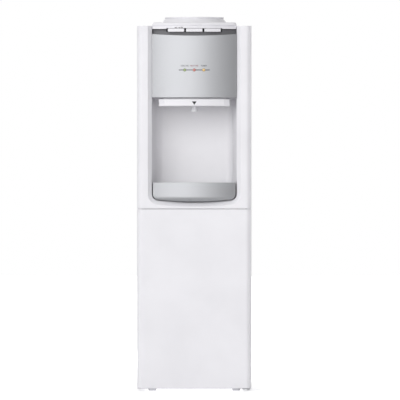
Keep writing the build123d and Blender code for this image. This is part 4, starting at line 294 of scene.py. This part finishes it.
# By maker: slot, material name, darker and paler display colour, then what the maker takes besides
PALETTE = {
    moulded: (
        ("white_plastic", "white plastic", (233, 232, 236), (238, 237, 241)),
        # Bezel behind the keys: grey plastic whose dark tone is partly painted shade of the recess
        # under the brow
        ("dark_plastic", "dark band plastic", (102, 102, 105), (114, 114, 117), (0.4, 0.55), 0.0),
        ("recess_plastic", "recess plastic", (231, 230, 233), (236, 235, 238), (0.36, 0.48), 0.05),
        ("grille_plastic", "grille plastic", (196, 197, 200), (208, 209, 212), (0.38, 0.5), 0.05),
        ("nozzle_plastic", "nozzle plastic", (224, 224, 227), (232, 232, 235), (0.3, 0.42), 0.2),
        ("board", "lamp board", (38, 96, 60), (50, 114, 74), (0.35, 0.5), 0.2),
        ("valve_plastic", "valve plastic", (222, 221, 216), (232, 231, 227), (0.35, 0.5), 0.1),
        ("black_plastic", "black plastic", (30, 31, 33), (42, 43, 45), (0.36, 0.5), 0.1),
        ("red_plastic", "red rocker", (172, 48, 40), (190, 62, 52), (0.25, 0.36), 0.3),
        ("green_plastic", "green rocker", (52, 128, 76), (66, 146, 90), (0.25, 0.36), 0.3),
    ),
    enamelled: (
        ("white_steel", "white powder coat", (231, 230, 234), (236, 235, 239)),
        ("black_steel", "black enamel", (22, 23, 25), (34, 35, 37), (0.3, 0.45)),
    ),
    silver_paint: (("silver_plastic", "silver lacquer", (171, 172, 175), (189, 190, 193)),),
    lens: (
        ("green_lens", "green lens", (120, 138, 78), (148, 164, 104)),
        ("red_lens", "red lens", (172, 96, 86), (196, 120, 108)),
        ("amber_lens", "amber lens", (204, 162, 78), (222, 184, 108)),
    ),
    plated: (("zinc_steel", "zinc plate", (168, 171, 174), (196, 198, 199)),),
    spun: (("stainless", "spun stainless", (186, 188, 190), (208, 209, 210)),),
    drawn: (("copper_line", "drawn copper", (176, 102, 66), (206, 132, 92)),),
    soft_rubber: (
        ("black_rubber", "black rubber", (28, 28, 30), (44, 44, 46)),
        ("grey_rubber", "grey rubber", (192, 192, 195), (206, 206, 209)),
        ("clear_hose", "milky hose", (214, 215, 212), (228, 229, 226)),
    ),
    beaded_foam: (("foam", "bead foam", (214, 211, 202), (236, 234, 228)),),
}
FINISHES = {}
for maker, rows in PALETTE.items():
    for slot, title, low, high, *more in rows:
        FINISHES[slot] = maker(title, srgb(*low), srgb(*high), *more)

for entry in frame["record"]["subparts"]:
    node = frame["nodes"][entry["node"]]
    node.data.materials.clear()
    node.data.materials.append(FINISHES[entry["material_slot"]])

INK_ROUGH = (0.4, 0.5)
ink_black = moulded("black print", srgb(18, 18, 19), srgb(26, 26, 27), INK_ROUGH, 0.0)
ink_grey = moulded("grey print", srgb(84, 84, 87), srgb(96, 96, 99), INK_ROUGH, 0.0)
ink_red = moulded("red print", srgb(128, 78, 82), srgb(140, 90, 94), INK_ROUGH, 0.0)
strip_finish = moulded(
    "indicator line plastic", srgb(44, 44, 46), srgb(56, 56, 58), (0.4, 0.55), 0.0
)
frame["nodes"]["indicator_strip"].data.materials[0] = strip_finish


# Marks

ARROW_WIDTH, ARROW_HEIGHT = 12.6 * MM, 9.4 * MM
ARROW_RISE = 1.3 * MM
ARROW_TAPER = 0.985
ARROW_LINES = 9
ARROW_HALF_DEPTH = 0.15 * MM


def arrow_mark():
    """Filled triangle on the bow: x = (u - 1/2) w (1 - taper v) and z = top - v h."""
    top = (BAR_BOX[0][2] + BAR_BOX[1][2]) / 2 + ARROW_RISE
    steps = np.linspace(0, 1, ARROW_LINES)
    v, u = np.meshgrid(steps, steps, indexing="ij")
    x = (u - 0.5) * ARROW_WIDTH * (1 - ARROW_TAPER * v)
    y = bow_y(x, BAR_INSET)
    z = top - v * ARROW_HEIGHT
    face = np.stack([x, y - ARROW_HALF_DEPTH, z], axis=-1)
    back = np.stack([x, y + ARROW_HALF_DEPTH, z], axis=-1)
    points, quads = thin_shell(face[::-1], back[::-1])
    piece = make_piece("outlet_arrow", points, quads, ink_black, smooth=False)
    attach(piece, "cabinet")


arrow_mark()

# Strokes of the capitals on a grid 4 wide and 6 high
STROKES = {
    "A": [[(0, 0), (2, 6), (4, 0)], [(0.8, 2.2), (3.2, 2.2)]],
    "C": [[(4, 5), (3, 6), (1, 6), (0, 5), (0, 1), (1, 0), (3, 0), (4, 1)]],
    "E": [[(4, 6), (0, 6), (0, 0), (4, 0)], [(0, 3), (3, 3)]],
    "G": [[(4, 5), (3, 6), (1, 6), (0, 5), (0, 1), (1, 0), (3, 0), (4, 1), (4, 3), (2, 3)]],
    "H": [[(0, 0), (0, 6)], [(4, 0), (4, 6)], [(0, 3), (4, 3)]],
    "I": [[(2, 0), (2, 6)]],
    "L": [[(0, 6), (0, 0), (4, 0)]],
    "N": [[(0, 0), (0, 6), (4, 0), (4, 6)]],
    "O": [[(1, 0), (3, 0), (4, 1), (4, 5), (3, 6), (1, 6), (0, 5), (0, 1), (1, 0)]],
    "P": [[(0, 0), (0, 6), (3, 6), (4, 5), (4, 4), (3, 3), (0, 3)]],
    "R": [[(0, 0), (0, 6), (3, 6), (4, 5), (4, 4), (3, 3), (0, 3)], [(2, 3), (4, 0)]],
    "T": [[(0, 6), (4, 6)], [(2, 0), (2, 6)]],
    "W": [[(0, 6), (1, 0), (2, 4), (3, 0), (4, 6)]],
}
# On the same grid: a letter's size and the step to the next one, half a stroke's width, and how far
# a stroke runs past its ends
LETTER_WIDTH, LETTER_HEIGHT, LETTER_STEP = 4.0, 6.0, 5.6
STROKE_HALF, STROKE_END = 0.62, 0.42
INK_HALF_DEPTH = 0.12 * MM
# Faces of the box on one stroke: corners 0 to 3 in front, 4 to 7 behind
STROKE_BOX = np.array(
    [[0, 1, 2, 3], [7, 6, 5, 4], [1, 0, 4, 5], [2, 1, 5, 6], [3, 2, 6, 7], [0, 3, 7, 4]]
)


def lettering(name, text, middle, base, height, inset, material):
    """Printed word: each stroke is a strip of constant width about its line, laid on the bow."""
    unit = height / LETTER_HEIGHT
    starts, ends = [], []
    for place, letter in enumerate(text):
        for line in STROKES.get(letter, []):
            path = np.array(line, dtype=float) + (LETTER_STEP * place, 0)
            starts.append(path[:-1])
            ends.append(path[1:])
    start, end = np.concatenate(starts), np.concatenate(ends)
    along = (end - start) / np.linalg.norm(end - start, axis=1, keepdims=True)
    across = along[:, ::-1] * (1, -1) * STROKE_HALF
    start, end = start - along * STROKE_END, end + along * STROKE_END
    flat = np.stack([start + across, start - across, end - across, end + across], axis=1)
    length = LETTER_STEP * (len(text) - 1) + LETTER_WIDTH
    x = middle + (flat[..., 0] - length / 2) * unit
    y = bow_y(x, inset)
    z = base + flat[..., 1] * unit
    depths = (y - INK_HALF_DEPTH, y + INK_HALF_DEPTH)
    points = np.stack([np.stack([x, depth, z], axis=-1) for depth in depths], axis=1)
    quads = (STROKE_BOX[None] + 8 * np.arange(len(flat))[:, None, None]).reshape(-1, 4)
    piece = make_piece(name, points, quads[:, ::-1], material, smooth=False)
    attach(piece, "cabinet")


LAMP_WORD_RISE, LAMP_WORD_HEIGHT = 5.8 * MM, 3.3 * MM
KEY_WORD_X, KEY_WORD_RISE, KEY_WORD_HEIGHT = 30 * MM, 1.3 * MM, 2.7 * MM

for word, lamp, ink in (
    ("COOLING", "green_lamp", ink_grey),
    ("HEATING", "red_lamp", ink_red),
    ("POWER", "amber_lamp", ink_grey),
):
    low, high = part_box(lamp)
    middle, base = (low[0] + high[0]) / 2, high[2] + LAMP_WORD_RISE
    lettering(f"{word.lower()}_word", word, middle, base, LAMP_WORD_HEIGHT, 0.0, ink)
low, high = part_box("hot_button")
middle, base = low[0] + KEY_WORD_X, high[2] + KEY_WORD_RISE
lettering("hot_key_word", "HOT WATER", middle, base, KEY_WORD_HEIGHT, BROW_INSET, ink_grey)


# Fasteners and wires

WIRE_RADIUS = 0.8 * MM
WIRE_END = 0.3 * MM
WIRES_PER_ROW = 19
WIRE_AROUND = 10


def round_wires():
    """Upright wires of the condenser: a circle carried up z, drawn in to the axis at both ends."""
    low, high = np.array(WIRES_BOX[0]), np.array(WIRES_BOX[1])
    columns = np.linspace(low[0] + WIRE_RADIUS, high[0] - WIRE_RADIUS, WIRES_PER_ROW)
    rows = (low[1] + WIRE_RADIUS, high[1] - WIRE_RADIUS)
    spots = np.array([(x, y) for y in rows for x in columns])[:, None, None, :]
    tall = high[2] - low[2]
    rise = np.array([0, 0, WIRE_END, tall - WIRE_END, tall, tall]) + low[2]
    width = WIRE_RADIUS * np.array([0.05, 0.6, 1, 1, 0.6, 0.05])
    turn = np.linspace(0, 2 * np.pi, WIRE_AROUND, endpoint=False)
    x = spots[..., 0] + width[:, None] * np.cos(turn)
    y = spots[..., 1] + width[:, None] * np.sin(turn)
    z = np.broadcast_to(rise[:, None], x.shape)
    points = np.stack([x, y, z], axis=-1)
    count, levels = points.shape[:2]
    step = levels * WIRE_AROUND
    one = [list(f) for f in grid_faces(levels, WIRE_AROUND, wrap=True)]
    one += [list(range(WIRE_AROUND))[::-1], list(range(step - WIRE_AROUND, step))]
    faces = [[i + k * step for i in f] for k in range(count) for f in one]
    piece = make_piece("condenser_round_wires", points, faces, FINISHES["black_steel"])
    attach(piece, "cabinet")
    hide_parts("condenser_wires")


round_wires()

HEAD_RINGS, HEAD_AROUND = 9, 24
# Shares of the head's radius and rise
CROSS_HALF, CROSS_REACH, CROSS_DEPTH = 0.16, 0.62, 0.55
HEAD_FALL = 0.75
HEAD_SINK = 0.2 * MM


def pan_head(centre, normal_sign, radius, rise):
    """Pan head facing +Y or -Y: height rise (1 - fall r^4) less a cross-shaped drive recess."""
    r, a = polar_grid(HEAD_RINGS, HEAD_AROUND)
    px, pz = r * np.cos(a), r * np.sin(a)
    wide, tall = np.abs(px), np.abs(pz)
    cross = (np.minimum(wide, tall) < CROSS_HALF) & (np.maximum(wide, tall) < CROSS_REACH)
    height = rise * (1 - HEAD_FALL * r**4) - CROSS_DEPTH * rise * cross
    height[-1] = -HEAD_SINK
    points = np.stack([px * radius, normal_sign * height, pz * radius], axis=-1) + np.array(centre)
    return points, grid_faces(HEAD_RINGS, HEAD_AROUND, wrap=True, flip=normal_sign > 0)


def screw_row(name, body, places, normal_sign, radius=3.4 * MM, rise=2.0 * MM):
    """All the screws of one panel in one piece."""
    shapes = [pan_head(place, normal_sign, radius, rise) for place in places]
    points = np.concatenate([p.reshape(-1, 3) for p, _ in shapes])
    step = HEAD_RINGS * HEAD_AROUND
    faces = [list(f) for i, (_, quads) in enumerate(shapes) for f in quads + i * step]
    crowns = [list(range(i * step, i * step + HEAD_AROUND)) for i in range(len(shapes))]
    faces += [crown[:: -1 if normal_sign < 0 else 1] for crown in crowns]
    piece = make_piece(name, points, faces, FINISHES["zinc_steel"])
    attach(piece, body)


PANEL_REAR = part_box("left_side_panel")[1][1] + 1.0 * MM
SIDE_SCREW_X, SIDE_SCREW_HEIGHTS = 148 * MM, (0.225, 0.4, 0.58, 0.76, 0.94)
TOP_SCREW_X, TOP_SCREW_HEIGHT = 60 * MM, 0.966
screw_row(
    "back_screws",
    "cabinet",
    [(x, PANEL_REAR, z) for x in (-SIDE_SCREW_X, SIDE_SCREW_X) for z in SIDE_SCREW_HEIGHTS]
    + [(x, PANEL_REAR, TOP_SCREW_HEIGHT) for x in (-TOP_SCREW_X, TOP_SCREW_X)],
    1,
)


# Stage

scene = bpy.context.scene
scene.view_settings.view_transform = "Standard"

# The photograph's side in pixels, one pixel on the object, and where the axis and the floor lie
PHOTO_SIDE = 400
PIXEL = 2.7074 * MM
AXIS_COLUMN, FLOOR_ROW = 194.25, 391.3
DISTANCE = 20.0
camera = bpy.data.objects.new("camera", bpy.data.cameras.new("camera"))
camera.data.sensor_width = 36.0
camera.data.lens = camera.data.sensor_width * DISTANCE / (PHOTO_SIDE * PIXEL)
camera.data.clip_end = 100.0
camera.location = (
    (PHOTO_SIDE / 2 - AXIS_COLUMN) * PIXEL,
    CREST_Y - DISTANCE,
    (FLOOR_ROW - PHOTO_SIDE / 2) * PIXEL,
)
camera.rotation_euler = (math.pi / 2, 0, 0)
scene.collection.objects.link(camera)
scene.camera = camera

WHITE = (1, 1, 1, 1)


def seen_directly(tree):
    """Value of one on camera and transmission rays."""
    rays = tree.nodes.new("ShaderNodeLightPath").outputs
    return combine(tree, "MAXIMUM", rays["Is Camera Ray"], rays["Is Transmission Ray"])


AMBIENT = 0.68
# Axis, where along the unit direction the light starts and ends to fall, and the share that is left
LIGHT_FALLS = (("X", 0.38, 0.7, 0.0), ("Z", 0.25, 0.9, 0.6))


def studio_world():
    """White where it is seen directly; as light it is dimmer, and falls to the right and overhead.

    Glossy rays see the same falls from the full white, so the silver front mirrors the backdrop.
    """
    world = bpy.data.worlds.new("studio")
    world.use_nodes = True
    scene.world = world
    tree = world.node_tree
    ambient = tree.nodes["Background"]
    ambient.inputs["Color"].default_value = WHITE
    heading = tree.nodes.new("ShaderNodeSeparateXYZ")
    direction = tree.nodes.new("ShaderNodeTexCoord").outputs["Generated"]
    tree.links.new(direction, heading.inputs[0])
    glossy = tree.nodes.new("ShaderNodeLightPath").outputs["Is Glossy Ray"]
    level = combine(tree, "MULTIPLY_ADD", glossy, 1 - AMBIENT, AMBIENT)
    for axis, start, end, left in LIGHT_FALLS:
        fall = map_range(tree, heading.outputs[axis], start, end, 1.0, left)
        level = combine(tree, "MULTIPLY", level, fall)
    tree.links.new(level, ambient.inputs["Strength"])
    backdrop = tree.nodes.new("ShaderNodeBackground")
    backdrop.inputs["Color"].default_value = WHITE
    mix = tree.nodes.new("ShaderNodeMixShader")
    tree.links.new(seen_directly(tree), mix.inputs[0])
    tree.links.new(ambient.outputs[0], mix.inputs[1])
    tree.links.new(backdrop.outputs[0], mix.inputs[2])
    tree.links.new(mix.outputs[0], tree.nodes["World Output"].inputs["Surface"])


studio_world()

FLOOR_RADIUS = 30.0
FLOOR_RINGS, FLOOR_AROUND = 24, 64
# Glow of the floor near the machine and far from it, with the radii between which it grows
GLOW_NEAR, GLOW_FAR = 0.42, 1.0
GLOW_START, GLOW_END = 0.5, 2.2
# Glow of the square under the machine, with the half sides between which it fades
PLATE_GLOW = 0.6
PLATE_START, PLATE_END = 0.13, 0.15


def floor_glow(tree, place):
    """Strength of the floor's own light.

    It lifts the floor towards the white backdrop where it is seen directly, and lights nothing.
    Only the square under the machine does light, so feet and gap are pale as in the photograph.
    """
    reach = tree.nodes.new("ShaderNodeVectorMath")
    reach.operation = "LENGTH"
    tree.links.new(place, reach.inputs[0])
    lift = map_range(tree, reach.outputs["Value"], GLOW_START, GLOW_END, GLOW_NEAR, GLOW_FAR)
    spot = tree.nodes.new("ShaderNodeSeparateXYZ")
    tree.links.new(place, spot.inputs[0])
    sides = [combine(tree, "ABSOLUTE", spot.outputs[axis]) for axis in ("X", "Y")]
    half = combine(tree, "MAXIMUM", *sides)
    plate = map_range(tree, half, PLATE_START, PLATE_END, PLATE_GLOW, 0.0)
    return combine(tree, "MAXIMUM", combine(tree, "MULTIPLY", seen_directly(tree), lift), plate)


def floor_disc():
    """Flat disc: rings of radius R r^2 about the origin, so they are close under the machine."""
    r, a = polar_grid(FLOOR_RINGS, FLOOR_AROUND)
    span = FLOOR_RADIUS * r**2
    points = np.stack([span * np.cos(a), span * np.sin(a), np.zeros_like(a)], axis=-1)
    faces = [list(f) for f in grid_faces(FLOOR_RINGS, FLOOR_AROUND, wrap=True, flip=True)]
    faces.append(list(range(FLOOR_AROUND)))
    finish = Finish("pale floor", specular=0.2)
    finish.colour(finish.noise(3.0), srgb(230, 230, 231), srgb(234, 234, 235))
    finish.rough(finish.noise(8.0), 0.7, 0.8)
    tree = finish.tree
    glow = tree.nodes.new("ShaderNodeEmission")
    glow.inputs["Color"].default_value = WHITE
    tree.links.new(floor_glow(tree, finish.place), glow.inputs["Strength"])
    both = tree.nodes.new("ShaderNodeAddShader")
    tree.links.new(finish.shader.outputs[0], both.inputs[0])
    tree.links.new(glow.outputs[0], both.inputs[1])
    tree.links.new(both.outputs[0], tree.nodes["Material Output"].inputs["Surface"])
    floor = make_piece("floor", points, faces, finish.material, smooth=False)


floor_disc()


def soft_lamp(name, place, aim, size, power, mirrored=True):
    """Square area lamp that faces its aim point; mirrored says whether glossy surfaces show it."""
    lamp = bpy.data.objects.new(name, bpy.data.lights.new(name, "AREA"))
    lamp.data.size = size
    lamp.data.energy = power
    lamp.location = place
    lamp.rotation_mode = "QUATERNION"
    lamp.rotation_quaternion = (Vector(aim) - Vector(place)).to_track_quat("-Z", "Y")
    lamp.visible_glossy = mirrored
    scene.collection.objects.link(lamp)


soft_lamp("key lamp", (-1.9, -6.7, 2.8), (0, 0, 0.4), size=6.8, power=303.0)
soft_lamp("top lamp", (0, -0.5, 3.8), (0, 0, 1.0), size=2.0, power=8.0, mirrored=False)
soft_lamp("side lamp", (3.5, 0.9, 1.0), (0, 0, 0.5), size=2.0, power=30.0)
soft_lamp("rear lamp", (0.4, 4.8, 2.2), (0, 0, 0.5), size=2.4, power=130.0, mirrored=False)
